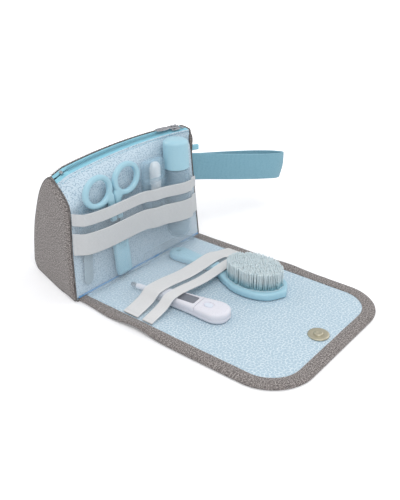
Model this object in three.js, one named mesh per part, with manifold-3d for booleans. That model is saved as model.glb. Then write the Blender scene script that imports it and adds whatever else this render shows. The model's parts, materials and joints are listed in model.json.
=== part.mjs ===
// A baby grooming kit in millimetres: a wedge-shaped zipped bag with a flap and tools in clear pockets.
// X runs along the flap's fold, Y from the flap's tip towards the back of the bag, and Z up from the table.

import * as THREE from 'three';
import { mergeVertices } from 'three/addons/utils/BufferGeometryUtils.js';
import Module from 'manifold-3d';

const wasm = await Module();
wasm.setup();
const { Manifold } = wasm;
const rad = THREE.MathUtils.degToRad;

// Clearances
const seat = 0.3; // between pieces that touch
const runClear = 0.45; // round a piece that slides or turns
const overrun = 2; // how far a cutting solid passes the wall it cuts
const embed = 0.4; // how deep a joined solid reaches into the one that carries it

// The bag
const bagWidth = 190; // along the fold, between the gussets
const bagDepth = 90; // base, front to back
const bagHeight = 125.6; // floor to ridge, beside the gussets, before the ridge's tilt
const crownRise = 7.75; // the ridge is this much higher in the middle
const ridgeTilt = 0.096; // the ridge rises this much for each mm to the right
const ridgeTurn = 0.17; // and comes forward this much for each mm
const sideLean = 0.088; // each gusset leans in this much for each mm up
const gussetTurn = 15.4; // degrees that each gusset turns in towards the back
const frontLean = 3; // how far the upright front leans back
const shoulderRadius = 25.65; // the front rolls over into the ridge
const backCorner = 10; // radius from the back down to the base
const frontCorner = 5; // radius of the gusset's front foot
const panelWall = 2.4;
const gussetWall = 4.2;

// The back's outline from ridge to base, as shares of its depth and height
const backOutlineShares = [[0.18, 0.93], [0.46, 0.755], [0.68, 0.54], [0.87, 0.31]];

// The zip
const zipFrontAngle = 61; // degrees round the shoulder where the zip tape starts
const zipBackAngle = 88;
const tapeWall = 0.9;
const coilWidth = 1.8; // one row of the coil
const coilSlot = 1.3; // between the two rows, where the slider's post runs
const coilHeight = 1.3; // the coil's rib above the tape
const coilDepth = 1.2; // and below it
const coilGroove = 0.6; // how far a groove between two ribs drops
const coilPitch = 4.4; // from one rib to the next
const stopLength = 3.2;
const stopWall = 0.7;
const sliderLength = 12;
const sliderWidth = 8.4;
const sliderPlate = 1;
const sliderPost = 0.6;
const sliderFromEnd = 12; // slider's middle from the end of the zip
const bridgeHeight = 3.4;
const bridgeWidth = 1.3;
const bridgeSpan = 7;
const pullLength = 26;
const pullWidth = 5.6;
const pullWall = 1.3;
const pullBar = 1.3;
const pullWindow = 4.6;

// The wrist strap
const webWidth = 31.5;
const webWall = 1.7;
const webRootWall = 0.35; // each layer, pressed flat where it is sewn in
const webRootReach = 4.4; // it is full thick from here on
const strapLength = 134;
const strapOpening = 15; // between the middles of the loop's two layers where it is fullest
const strapDroop = 21; // how much lower the far end hangs
const strapSwing = 21.5; // degrees forward of the ridge's line
const strapRootY = 10.4;
const strapRootZ = 86.5;
const tabLength = 13;
const tabHeight = 6;

// The loop's half outline, as shares of its length and of its opening
const strapShares = [[0.15, 0.2], [0.35, 0.6], [0.55, 0.9], [0.75, 1], [0.92, 0.68]];

// The flap
const flapLength = 243;
const flapOverhang = 2; // past the bag's sides
const flapHalfWidth = bagWidth / 2 + flapOverhang;
const flapTipRadius = 44;
const foldAt = 168; // the tip folds this far from the bag
const flapThick = 4;
const shellWall = 2;
const liningWall = 1.4;
const bindingWidth = 13;

// The magnetic snap
const snapRadius = 10;
const snapHeight = 2.8;
const snapBoss = 4.2;
const snapAt = 217; // from the fold
const snapWasher = 0.6;
const socketShare = 0.58; // how far down the back the socket sits
const socketSpan = 0.05; // share of half the bag that the socket lies flat on

// Clear pockets and their elastic bands
const filmWall = 0.5;
const bandWall = 1.1;
const pocketSeam = 1; // film stands this far off at its seams
const frontPocketFoot = 5; // above the floor
const frontFootRise = 9; // higher where the pocket is deep, clear of the flap's pocket
const capFootRise = 3.8; // from the foot to where the film stands clear of the scissors' cap
const frontWideLow = 50;
const frontWideHigh = 72;
const frontNarrowLow = 80;
const frontNarrowHigh = 92;
const rightEndDrop = 15; // the bands drop towards their right end
const flapPocketFoot = 5; // from the fold
const flapWideNear = 54;
const flapWideFar = 74;
const flapNarrowNear = 77;
const flapNarrowFar = 89.5;

// Scissors
const scissorsX = -38; // pivot
const scissorsPivotZ = 62;
const scissorsTilt = 4.4; // degrees, rings to the left
const scissorsOut = 6.9; // blades' middle, out from the bag's front
const bladeLength = 48;
const bladeWidth = 8;
const bladeWall = 1.2;
const tangLength = 16;
const tangWidth = 4;
const tangInset = 1.2; // plastic between the tang and the scissors' axis
const ringRise = 47; // ring centre above the pivot
const ringSpread = 19.3; // ring centre from the scissors' axis
const ringOuter = 18.6;
const ringInner = 12.4;
const handleThick = 5.4;
const shankWidth = 8;
const screwRadius = 1.7;
const screwHead = 3.2;
const screwHeadHeight = 0.8;
const capLength = 44;
const capWidth = 19.5;
const capThick = 8;
const capWall = 1.75;
const capGap = 8; // the cap stops this far below the pivot
const gripRibs = 5;
const gripRibRadius = 0.7;
const gripRibLength = 9;

// Nail file
const fileFromSide = 20; // its middle from the bag's left side
const fileX = fileFromSide - bagWidth / 2;
const fileMiddleZ = 60;
const fileTilt = -4.6; // degrees, top to the right
const fileHandleLength = 38;
const fileHandleWidth = 18;
const fileHandleThick = 3;
const fileBladeLength = 46;
const fileBladeWidth = 11;
const fileBladeThick = 1;
const fileTang = 12; // blade hidden in the handle

// Finger brush and its clear case
const caseX = 14.5;
const caseWidth = 32;
const caseDepth = 17;
const caseWall = 1.2;
const caseLow = 50; // above the floor
const caseBodyHeight = 52;
const caseLidHeight = 17;
const caseLip = 5; // the lid's spigot inside the body
const fingerRadius = 5.4;
const fingerShift = 3.5; // towards the case's right side
const fingerWall = 1.1;
const fingerHeight = 30;
const fingerNubRadius = 0.7;
const fingerNubLength = 1.8;
const fingerNubRows = 5;
const fingerNubsAcross = 4;
const fingerNubStep = 2.8;
const fingerNubTurn = 24; // degrees from one nub to the next round the finger

// Nasal aspirator
const aspiratorFromSide = 50; // its middle from the bag's right side
const aspiratorX = bagWidth / 2 - aspiratorFromSide;
const aspiratorRadius = 13.5;
const aspiratorLow = 26; // above the floor
const aspiratorHigh = 135;
const aspiratorCapHeight = 31;
const aspiratorWall = 1.4;
const bottleFootRadius = 9;
const bottleFootRise = 12;
const neckRadius = 9;
const neckHeight = 7;
const sealHeight = 2;
const nozzleHeight = 14.5;
const nozzleFoot = 7.4;
const nozzleTip = 3.4;
const nozzleBore = 1.4;

// Hair brush
const brushX = 35;
const brushNear = 11; // handle's end from the fold
const brushFar = 160.5;
const brushHeadLength = 77;
const brushHeadWidth = 51;
const brushHandleWidth = 22;
const brushNeckWidth = 15;
const brushThick = 8;
const brushBevel = 2.2;
const brushHoleRadius = 2.6;
const brushHoleFrom = 10;
const padInset = 3.8;
const padEnds = 7; // from the head's ends to the pad's
const padThick = 1.4;
const bristleLength = 18;
const bristleRadius = 0.52;
const bristleStep = 2.3;

// Thermometer
const thermoX = -47; // probe's tip
const thermoNear = 28; // probe's tip from the fold
const thermoTurn = 6.6; // degrees that it points to the right, away from the bag
const thermoLength = 114;
const probeLength = 24;
const probeRadius = 3;
const metalTip = 7;
const thermoNeckWidth = 11;
const thermoWindowWidth = 20;
const thermoEndWidth = 27;
const thermoThick = 11;
const thermoBevel = 2.4;
const thermoWall = 1.3;
const windowFromEnd = 45; // window's middle from the wide end
const windowAt = thermoLength - windowFromEnd;
const windowLength = 18;
const windowWidth = 11;
const windowThick = 1.2;
const buttonFromEnd = 22;
const buttonAt = thermoLength - buttonFromEnd;
const buttonLength = 9;
const buttonWidth = 6.5;
const buttonTravel = 0.6;
const boardLength = 42;
const boardWidth = 9;
const boardThick = 1;
const boardPostRadius = 1.4;
const cellRadius = 4.4;
const cellHeight = 3;
const doorLength = 18;
const doorWidth = 14;
const doorThick = 1;

// The board's posts, as shares of its length from its middle
const boardPostShares = [-0.3, 0.2];

// Facets
const roundSteps = 24;
const bagSteps = 8; // across the bag's width
const runSteps = 26; // along a pocket's band
const strapSteps = 44;
const screwSteps = 14; // round a small turned piece
const probeSteps = 20;

const finishes = {
  tweed: { color: '#8b8681', roughness: 0.95, metalness: 0 },
  lining: { color: '#bcdcec', roughness: 0.85, metalness: 0 },
  tape: { color: '#8fd0e4', roughness: 0.8, metalness: 0 },
  webbing: { color: '#7cbcd3', roughness: 0.85, metalness: 0 },
  elastic: { color: '#e6e5e6', roughness: 0.8, metalness: 0 },
  film: { color: '#d6e9f2', roughness: 0.15, metalness: 0, transparent: true, opacity: 0.3 },
  nickel: { color: '#b9bbbe', roughness: 0.3, metalness: 1 },
  champagne: { color: '#b8aa8e', roughness: 0.35, metalness: 1 },
  steel: { color: '#c4c8cc', roughness: 0.25, metalness: 1 },
  bluePlastic: { color: '#9edcec', roughness: 0.35, metalness: 0 },
  clearPlastic: { color: '#b8d8e8', roughness: 0.12, metalness: 0, transparent: true, opacity: 0.4 },
  whitePlastic: { color: '#f1f2f5', roughness: 0.35, metalness: 0 },
  silicone: { color: '#eef0ee', roughness: 0.55, metalness: 0 },
  bristle: { color: '#e4f2f6', roughness: 0.6, metalness: 0 },
  darkGlass: { color: '#5f646b', roughness: 0.2, metalness: 0 },
  board: { color: '#3c7a52', roughness: 0.6, metalness: 0 },
};

// General tools

function toSolid(geometry) {
  const bare = geometry.clone();
  bare.deleteAttribute('normal');
  bare.deleteAttribute('uv');
  const merged = mergeVertices(bare, embed / 1000);
  const vertProperties = new Float32Array(merged.attributes.position.array);
  const triVerts = new Uint32Array(merged.index.array);
  return new Manifold(new wasm.Mesh({ numProp: 3, vertProperties, triVerts }));
}

function toGeometry(solid) {
  const mesh = solid.getMesh();
  const geometry = new THREE.BufferGeometry();
  geometry.setAttribute('position', new THREE.BufferAttribute(new Float32Array(mesh.vertProperties), 3));
  geometry.setIndex(new THREE.BufferAttribute(new Uint32Array(mesh.triVerts), 1));
  return geometry;
}

function cut(base, ...tools) {
  return toGeometry(tools.reduce((solid, tool) => solid.subtract(toSolid(tool)), toSolid(base)));
}

function join(...pieces) {
  return toGeometry(pieces.slice(1).reduce((solid, piece) => solid.add(toSolid(piece)), toSolid(pieces[0])));
}

function meet(base, tool) {
  return toGeometry(toSolid(base).intersect(toSolid(tool)));
}

// Skins a run of closed rings, each a list of as many points, and closes both ends
function loft(rings, outline = null) {
  const count = rings[0].length;
  const positions = rings.flat().flatMap((point) => [point.x, point.y, point.z]);
  const faces = [];
  for (let ring = 0; ring < rings.length - 1; ring += 1) {
    for (let side = 0; side < count; side += 1) {
      const a = ring * count + side;
      const b = ring * count + ((side + 1) % count);
      faces.push([a, b, b + count], [a, b + count, a + count]);
    }
  }
  const last = (rings.length - 1) * count;
  faces.push(...capFaces(rings[0], outline).map(([a, b, c]) => [a, c, b]));
  const end = capFaces(rings[rings.length - 1], outline);
  faces.push(...end.map((face) => face.map((corner) => corner + last)));
  const geometry = new THREE.BufferGeometry();
  geometry.setAttribute('position', new THREE.Float32BufferAttribute(positions, 3));
  geometry.setIndex(faces.flat());
  return facingOut(geometry);
}

// Triangles over one ring, turning the way that the ring turns
function capFaces(ring, outline) {
  const flat = outline ? outline.map(([y, z]) => new THREE.Vector2(y, z)) : flattened(ring);
  const turn = THREE.ShapeUtils.area(flat);
  return THREE.ShapeUtils.triangulateShape(flat, []).map(([a, b, c]) => {
    const ab = flat[b].clone().sub(flat[a]);
    const ac = flat[c].clone().sub(flat[a]);
    return ab.cross(ac) * turn > 0 ? [a, b, c] : [a, c, b];
  });
}

// A ring's points in the plane that it lies nearest to
function flattened(ring) {
  const normal = new THREE.Vector3();
  ring.forEach((point, i) => {
    normal.add(new THREE.Vector3().crossVectors(point, ring[(i + 1) % ring.length]));
  });
  const along = normal.normalize();
  const side = new THREE.Vector3(along.y, along.z, along.x).cross(along).normalize();
  const other = new THREE.Vector3().crossVectors(along, side);
  return ring.map((point) => new THREE.Vector2(point.dot(side), point.dot(other)));
}

function facingOut(geometry) {
  const position = geometry.attributes.position;
  const index = geometry.index.array;
  const corner = (i) => new THREE.Vector3().fromBufferAttribute(position, index[i]);
  let volume = 0;
  for (let i = 0; i < index.length; i += 3) {
    volume += corner(i).dot(corner(i + 1).cross(corner(i + 2)));
  }
  if (volume < 0) {
    for (let i = 0; i < index.length; i += 3) {
      [index[i], index[i + 1]] = [index[i + 1], index[i]];
    }
  }
  return geometry;
}

function plate(shape, thick, curveSegments = roundSteps / 6) {
  return new THREE.ExtrudeGeometry(shape, { depth: thick, bevelEnabled: false, curveSegments });
}

// A plate whose edges are rounded over inside its outline and its thickness
function softPlate(shape, thick, bevel, curveSegments = roundSteps / 6) {
  const geometry = new THREE.ExtrudeGeometry(shape, {
    depth: thick - 2 * bevel,
    bevelThickness: bevel,
    bevelSize: bevel,
    bevelOffset: -bevel,
    bevelSegments: 1,
    curveSegments,
  });
  return geometry.translate(0, 0, bevel);
}

function box(width, depth, height) {
  return new THREE.BoxGeometry(width, depth, height);
}

// A body of revolution about Z from a profile of [radius, height]
function turned(profile, steps = roundSteps) {
  const points = profile.map(([radius, height]) => new THREE.Vector2(radius, height));
  return new THREE.LatheGeometry(points, steps).rotateX(Math.PI / 2);
}

function rounded(width, height, radius) {
  const shape = new THREE.Shape();
  const x = width / 2 - radius;
  const y = height / 2 - radius;
  shape.absarc(x, y, radius, 0, Math.PI / 2);
  shape.absarc(-x, y, radius, Math.PI / 2, Math.PI);
  shape.absarc(-x, -y, radius, Math.PI, 1.5 * Math.PI);
  shape.absarc(x, -y, radius, 1.5 * Math.PI, 2 * Math.PI);
  return shape;
}

function oval(width, height) {
  const shape = new THREE.Shape();
  shape.absellipse(0, 0, width / 2, height / 2, 0, 2 * Math.PI);
  return shape;
}

// Points of a symmetric outline along +Y from stations of [distance, half width]
function outlineAlong(stations, closeRound) {
  const side = new THREE.SplineCurve(stations.map(([far, half]) => new THREE.Vector2(half, far)));
  const right = side.getPoints(stations.length * 2);
  const left = right.map((point) => new THREE.Vector2(-point.x, point.y)).reverse();
  return closeRound ? [...right, ...left.slice(1, -1)] : [...right, ...left];
}

// A plate with rounded edges from an outline that can be drawn at any inset
function softOutline(outline, thick, bevel) {
  const knee = bevel * 0.3;
  const levels = [
    [0, bevel], [knee, knee], [bevel, 0], [thick - bevel, 0], [thick - knee, knee], [thick, bevel],
  ];
  const ringAt = ([z, inset]) => outline(inset).map((point) => new THREE.Vector3(point.x, point.y, z));
  return loft(levels.map(ringAt));
}

// A smooth curve through a list of [x, y]
function smoothPath(points) {
  const corners = points.map(([x, y]) => new THREE.Vector3(x, y, 0));
  return new THREE.CatmullRomCurve3(corners, false, 'centripetal');
}

function piece(parent, name, finish, geometry) {
  const clean = geometry.index ? geometry : mergeVertices(geometry);
  const mesh = new THREE.Mesh(clean, new THREE.MeshStandardMaterial(finishes[finish]));
  mesh.name = name;
  parent.add(mesh);
  return mesh;
}

function groupAt(parent, x, y, z) {
  const group = new THREE.Group();
  group.position.set(x, y, z);
  parent.add(group);
  return group;
}

// The bag's section, as outline points with their outward normals

const shoulderY = frontLean + shoulderRadius;
const shoulderZ = bagHeight - shoulderRadius;
const ridgeStretch = Math.hypot(1, ridgeTurn); // length along the turned ridge for each mm across
const crownHalf = (ridgeStretch * bagWidth) / 2;
const crownRadius = (crownHalf ** 2 + crownRise ** 2) / (2 * crownRise);
const crownTilt = Math.atan(ridgeTilt / ridgeStretch);
const turnTan = Math.tan(rad(gussetTurn));

// The crown is one arc in the upright plane that the turned ridge lies in
function crownLift(x) {
  const reach = ridgeStretch * x - crownRadius * Math.sin(crownTilt);
  return Math.sqrt(crownRadius ** 2 - reach ** 2) - crownRadius * Math.cos(crownTilt) + crownRise;
}

function halfWidthAt(y, z) {
  return bagWidth / 2 - y * turnTan - z * sideLean;
}

const zipMiddle = (zipFrontAngle + zipBackAngle) / 2;
const turnDepth = shoulderRadius * (1 - Math.cos(rad(zipMiddle))) - coilWidth - coilSlot;

// How much of the ridge's turn a point of the section takes: none at the front, all from the coil on
function turnShare(y, z) {
  const front = (frontLean * Math.min(z, shoulderZ)) / shoulderZ;
  const back = THREE.MathUtils.smoothstep(y - front, 0, turnDepth);
  return back * Math.min(1, z / (bagHeight - shoulderRadius / 2));
}

// A point of the section carried across the bag: -1 is the left side and 1 the right one
function bagPoint(share, y, z, trim) {
  const turn = ridgeTurn * turnShare(y, z);
  const x = (share * (halfWidthAt(y, z) - trim)) / (1 - share * turn * turnTan);
  const lift = crownLift(x) * Math.min(1, z / shoulderZ);
  return new THREE.Vector3(x, y - turn * x, z + lift);
}

function arcPath(centreY, centreZ, radius, from, to, steps) {
  return Array.from({ length: steps + 1 }, (_, i) => {
    const angle = rad(from + ((to - from) * i) / steps);
    const ny = -Math.cos(angle);
    const nz = Math.sin(angle);
    return { y: centreY + radius * ny, z: centreZ + radius * nz, ny, nz };
  });
}

function shoulderPath(from, to, steps = 5) {
  return arcPath(shoulderY, shoulderZ, shoulderRadius, from, to, steps);
}

function frontPath(foot) {
  const slope = Math.hypot(frontLean, shoulderZ);
  const normal = { ny: -shoulderZ / slope, nz: frontLean / slope };
  return [foot, shoulderZ / 2].map((z) => ({ y: (frontLean * z) / shoulderZ, z, ...normal }));
}

function backPath(steps = 12) {
  const span = bagDepth - shoulderY;
  const start = new THREE.Vector2(shoulderY, bagHeight);
  const end = new THREE.Vector2(bagDepth, backCorner);
  const middle = backOutlineShares.map(([y, z]) => new THREE.Vector2(shoulderY + span * y, bagHeight * z));
  const curve = new THREE.SplineCurve([start, ...middle, end]);
  return Array.from({ length: steps }, (_, i) => {
    const share = (i + 0.5) / steps;
    const point = curve.getPoint(share);
    const tangent = curve.getTangent(share);
    return { y: point.x, z: point.y, ny: -tangent.y, nz: tangent.x };
  });
}

function backCornerPath(steps = 3) {
  return arcPath(bagDepth - backCorner, backCorner, backCorner, 180, 270, steps);
}

function along(path, offset) {
  return path.map((point) => [point.y + point.ny * offset, point.z + point.nz * offset]);
}

// A closed section with its outer side at one offset from the path and its inner side at another
function wallSection(path, outer, inner) {
  return [...along(path, outer), ...along(path, inner).reverse()];
}

// Sweeps a section across the bag, following the gussets' turn and the ridge's crown
function acrossBag(section, trim, steps = bagSteps) {
  const rings = Array.from({ length: steps + 1 }, (_, i) => {
    const share = (2 * i) / steps - 1;
    return section.map(([y, z]) => bagPoint(share, y, z, trim));
  });
  return loft(rings, section);
}

function buildBag(bag) {
  const clear = seat / shoulderRadius / rad(1); // the seat as degrees round the shoulder
  const foot = flapThick + seat;
  const front = [...frontPath(foot), ...shoulderPath(0, zipFrontAngle)];
  piece(bag, 'front_panel', 'lining', acrossBag(wallSection(front, 0, -panelWall), seat));

  const back = [...shoulderPath(zipBackAngle, 90, 4), ...backPath(), ...backCornerPath()];
  piece(bag, 'back_panel', 'tweed', acrossBag(wallSection(back, 0, -panelWall), seat));

  const baseBack = bagDepth - backCorner - seat;
  const baseSection = [[0, 0], [baseBack, 0], [baseBack, panelWall], [0, panelWall]];
  piece(bag, 'base_panel', 'tweed', acrossBag(baseSection, seat, 1));

  const footArc = arcPath(frontCorner, frontCorner, frontCorner, -90, 0, 3);
  const outline = [...footArc, ...shoulderPath(0, 90, 9), ...backPath(), ...backCornerPath()];
  for (const [name, side] of [['left_gusset', -1], ['right_gusset', 1]]) {
    const rings = [0, gussetWall].map((out) =>
      outline.map(({ y, z }) => bagPoint(side, y, z, -out / Math.cos(rad(gussetTurn)))));
    piece(bag, name, 'tweed', loft(rings, outline.map(({ y, z }) => [y, z])));
  }

  buildZip(bag, clear);
  buildSnapSocket(bag);
}

// The zip runs round the ridge's crown on the shoulder

const zipY = shoulderY - shoulderRadius * Math.cos(rad(zipMiddle));
const zipZ = shoulderZ + shoulderRadius * Math.sin(rad(zipMiddle));
const [zipLeft, zipRight] = [-1, 1].map((side) => { // both ends, from the middle along the ridge
  const spot = bagPoint(side, zipY + coilWidth + coilSlot, zipZ, 4 * seat);
  const along = new THREE.Vector3(1, -ridgeTurn, ridgeTilt).normalize();
  return spot.sub(bagPoint(0, zipY, zipZ, 0)).dot(along);
});
const perDegree = shoulderRadius * rad(1);

function buildZip(bag, clear) {
  const rowInner = coilSlot / 2 / perDegree;
  const rowOuter = rowInner + coilWidth / perDegree;
  const tapeFront = shoulderPath(zipFrontAngle + clear, zipMiddle - rowOuter - clear, 3);
  const tapeBack = shoulderPath(zipMiddle + rowOuter + clear, zipBackAngle - clear, 3);
  piece(bag, 'zip_tape_front', 'tape', acrossBag(wallSection(tapeFront, 0, -tapeWall), seat));
  piece(bag, 'zip_tape_back', 'tape', acrossBag(wallSection(tapeBack, 0, -tapeWall), seat));

  const ridge = onRidge(bag);
  const coilStart = zipLeft + stopLength + seat;
  const coilEnd = zipRight - stopLength - seat;
  const ribs = Math.round((coilEnd - coilStart) / coilPitch);
  for (const [name, side] of [['zip_coil_front', -1], ['zip_coil_back', 1]]) {
    const near = zipMiddle + side * rowInner;
    const far = zipMiddle + side * rowOuter;
    const rings = Array.from({ length: 2 * ribs + 1 }, (_, i) => {
      const x = coilStart + ((coilEnd - coilStart) * i) / (2 * ribs);
      const arc = Math.sqrt(crownRadius ** 2 - x ** 2) - crownRadius;
      const drop = i % 2 ? 0 : coilGroove;
      const corners = [
        [near, coilHeight - drop], [far, coilHeight - drop - coilGroove],
        [far, -coilDepth], [near, -coilDepth],
      ];
      return corners.map(([angle, offset]) => {
        const reach = shoulderRadius + offset;
        const y = shoulderY - reach * Math.cos(rad(angle)) - zipY;
        return new THREE.Vector3(x, y, shoulderZ + reach * Math.sin(rad(angle)) - zipZ + arc);
      });
    });
    piece(ridge, name, 'tape', loft(rings));
  }

  const ends = [['zip_stop_left', zipLeft + stopLength / 2], ['zip_stop_right', zipRight - stopLength / 2]];
  for (const [name, x] of ends) {
    const stopWidth = 2 * (rowOuter - clear) * perDegree;
    const height = coilHeight + coilDepth;
    const stop = plate(rounded(stopLength - seat, stopWidth, stopWall), height, 2);
    piece(onCrown(ridge, x), name, 'nickel', stop.translate(0, 0, -coilDepth));
  }
}

// A group at the middle of the zip: X along the ridge there, Y across it and Z up
function onRidge(parent) {
  const ridge = groupAt(parent, 0, zipY, zipZ + crownRise);
  const along = new THREE.Vector3(1, -ridgeTurn, ridgeTilt).normalize();
  const across = new THREE.Vector3(ridgeTurn, 1, 0).normalize();
  const up = new THREE.Vector3().crossVectors(along, across);
  ridge.rotation.setFromRotationMatrix(new THREE.Matrix4().makeBasis(along, across, up));
  return ridge;
}

// A group on the ridge's crown: X along the zip, Y across it and Z out of it
function onCrown(parent, x) {
  const axis = groupAt(parent, 0, 0, -crownRadius);
  axis.rotation.y = Math.asin(x / crownRadius);
  const top = groupAt(axis, 0, 0, crownRadius);
  top.rotation.x = rad(90 - zipMiddle);
  return top;
}

function buildSlider(bag) {
  const slider = onCrown(onRidge(bag), zipRight - sliderFromEnd);
  const lowZ = -coilDepth - runClear - sliderPlate;
  const highZ = coilHeight + runClear;
  const outline = rounded(sliderLength, sliderWidth, sliderWidth / 4);
  const upper = softPlate(outline, sliderPlate, sliderPlate / 4, 3).translate(0, 0, highZ);
  const lower = plate(outline, sliderPlate, 3).translate(0, 0, lowZ);
  const postHeight = highZ - lowZ - sliderPlate + 2 * embed;
  const post = box(sliderLength / 3, sliderPost, postHeight);
  post.translate(sliderLength / 4, 0, lowZ + sliderPlate - embed + postHeight / 2);

  const plateTop = highZ + sliderPlate;
  const bow = halfOval(bridgeSpan / 2, bridgeHeight + embed, bridgeWidth).translate(0, 0, plateTop - embed);
  const under = halfOval(bridgeSpan / 2 - bridgeWidth, bridgeHeight - bridgeWidth, bridgeWidth + overrun);
  const bridge = cut(bow, under.translate(0, 0, plateTop));
  piece(slider, 'zip_slider', 'nickel', join(upper, lower, post, bridge));

  const pull = groupAt(slider, 0, 0, highZ + sliderPlate + runClear);
  const start = pullBar / 2;
  const tongue = new THREE.Shape();
  tongue.moveTo(start, pullWidth / 2);
  tongue.lineTo(-pullLength * 0.3, pullWidth / 2);
  tongue.lineTo(-pullLength * 0.36, pullWidth * 0.34);
  tongue.lineTo(-pullLength * 0.45, pullWidth / 2);
  tongue.absarc(-pullLength + pullWidth / 2, 0, pullWidth / 2, Math.PI / 2, 1.5 * Math.PI);
  tongue.lineTo(-pullLength * 0.45, -pullWidth / 2);
  tongue.lineTo(-pullLength * 0.36, -pullWidth * 0.34);
  tongue.lineTo(-pullLength * 0.3, -pullWidth / 2);
  tongue.lineTo(start, -pullWidth / 2);
  const slot = box(pullWindow, bridgeWidth + 2 * runClear, pullWall + overrun);
  slot.translate(-start - pullWindow / 2, 0, pullWall / 2);
  piece(pull, 'zip_pull', 'nickel', cut(plate(tongue, pullWall, 4), slot));
}

// Half an oval standing on the XY plane, centred on Y
function halfOval(halfSpan, height, thick) {
  const shape = new THREE.Shape();
  shape.absellipse(0, 0, halfSpan, height, 0, Math.PI);
  return plate(shape, thick, 8).rotateX(Math.PI / 2).translate(0, thick / 2, 0);
}

function buildSnapSocket(bag) {
  const path = backPath(60);
  const step = Math.round(socketShare * (path.length - 1));
  const at = (share, i) => bagPoint(share, path[i].y, path[i].z, 0);
  const { x, y, z } = at(0, step);
  const socket = groupAt(bag, x, y, z);
  const across = at(socketSpan, step).sub(at(-socketSpan, step)).normalize();
  const down = at(0, step + 1).sub(at(0, step - 1));
  const out = new THREE.Vector3().crossVectors(down, across).normalize().negate();
  const up = new THREE.Vector3().crossVectors(out, across);
  socket.rotation.setFromRotationMatrix(new THREE.Matrix4().makeBasis(across, up, out));
  const profile = [
    [0, 0], [snapRadius, 0], [snapRadius, snapHeight / 2], [snapRadius - snapHeight / 2, snapHeight],
    [snapBoss + runClear, snapHeight], [snapBoss + runClear, snapHeight / 2], [0, snapHeight / 2],
  ];
  piece(socket, 'snap_socket', 'champagne', turned(profile).translate(0, 0, seat));
}

// The strap is a loop of webbing sewn into the right-hand seam

// How far to the right the strap or its tab starts at a height on the gusset
function strapX(z) {
  const inner = halfWidthAt(strapRootY, z / (1 + crownLift(bagWidth / 2) / shoulderZ));
  return inner + gussetWall / Math.cos(rad(gussetTurn)) + seat;
}

function buildStrap(bag) {
  const strap = groupAt(bag, strapX(strapRootZ), strapRootY, strapRootZ);
  const lean = sideLean / (Math.cos(rad(strapSwing)) - turnTan * Math.sin(rad(strapSwing)));
  strap.rotation.z = -rad(strapSwing);
  const rootGap = 2 * (webRootWall + seat / 2) * Math.tan(rad(strapSwing + gussetTurn));
  const root = [[rootGap, webRootWall / 2 + seat / 2], [webRootReach, webWall / 2 + seat / 2]];
  const side = strapShares.map(([far, open]) => [far * strapLength, (open * strapOpening) / 2]);
  const back = [...root, ...side];
  const front = back.map(([far, open]) => [far, -open]);
  const route = [...front, [strapLength - webWall / 2, 0], ...back.reverse()];
  const curve = smoothPath(route);
  const rings = Array.from({ length: strapSteps + 1 }, (_, i) => {
    const point = curve.getPoint(i / strapSteps);
    const tangent = curve.getTangent(i / strapSteps);
    const share = point.x / strapLength;
    const drop = -strapDroop * share;
    const grown = Math.min(1, (point.x - rootGap) / (webRootReach - rootGap));
    const wall = webRootWall + (webWall - webRootWall) * grown;
    const upright = (webWidth / 2) * lean * (1 - share) ** 2;
    return [[-1, -1], [1, -1], [1, 1], [-1, 1]].map(([across, up]) => new THREE.Vector3(
      point.x - (tangent.y * across * wall) / 2 - up * upright,
      point.y + (tangent.x * across * wall) / 2,
      drop + (up * webWidth) / 2,
    ));
  });
  piece(strap, 'wrist_strap', 'webbing', loft(rings));

  const tabZ = strapRootZ + webWidth / 2 + tabHeight;
  const tab = groupAt(bag, strapX(tabZ), strapRootY, tabZ);
  tab.rotation.z = -rad(strapSwing);
  const tabPlate = plate(rounded(tabLength, tabHeight, webWall / 2), 2 * webWall, 2);
  tabPlate.rotateX(Math.PI / 2).translate(tabLength / 2 + webWall, webWall, 0);
  piece(tab, 'strap_anchor_tab', 'webbing', tabPlate);
}

// Clear pockets: a run is a list of [across, out] that the film and its bands follow

function sampleRun(run, steps = runSteps) {
  const curve = smoothPath(run);
  return Array.from({ length: steps + 1 }, (_, i) => {
    const point = curve.getPoint(i / steps);
    return [point.x, Math.max(point.y, pocketSeam)];
  });
}

// Film closed at its foot, where it slopes back to the wall it is sewn to
function filmGeometry(run, footAt, turnAt, top, place) {
  const rings = sampleRun(run).map(([across, out]) => {
    const foot = footAt(across, out);
    const turn = turnAt(across, out);
    const base = seat + filmWall;
    const section = [
      [out, top], [out, turn], [Math.min(out, base), foot],
      [seat, foot], [seat, foot + filmWall], [out - filmWall, turn + filmWall], [out - filmWall, top],
    ];
    return section.map(([n, v]) => place(across, n, v));
  });
  return loft(rings);
}

function bandGeometry(run, low, high, drop, place) {
  const gap = seat + bandWall;
  const rings = sampleRun(run).map(([across, out]) => {
    const fall = drop(across);
    const section = [
      [out + seat, low - fall], [out + gap, low - fall], [out + gap, high - fall], [out + seat, high - fall],
    ];
    return section.map(([n, v]) => place(across, n, v));
  });
  return loft(rings);
}

const scissorsFront = scissorsOut + capThick / 2 + gripRibRadius + 2 * seat + filmWall;
const caseFront = caseDepth + 3 * seat + filmWall;
const aspiratorOut = aspiratorRadius + 3 * seat; // axis, out from the bag's front
const aspiratorFront = aspiratorOut + aspiratorRadius + 2 * seat + filmWall;

function frontPlace(across, out, up) {
  return new THREE.Vector3(across, (frontLean * up) / shoulderZ - out, up);
}

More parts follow.
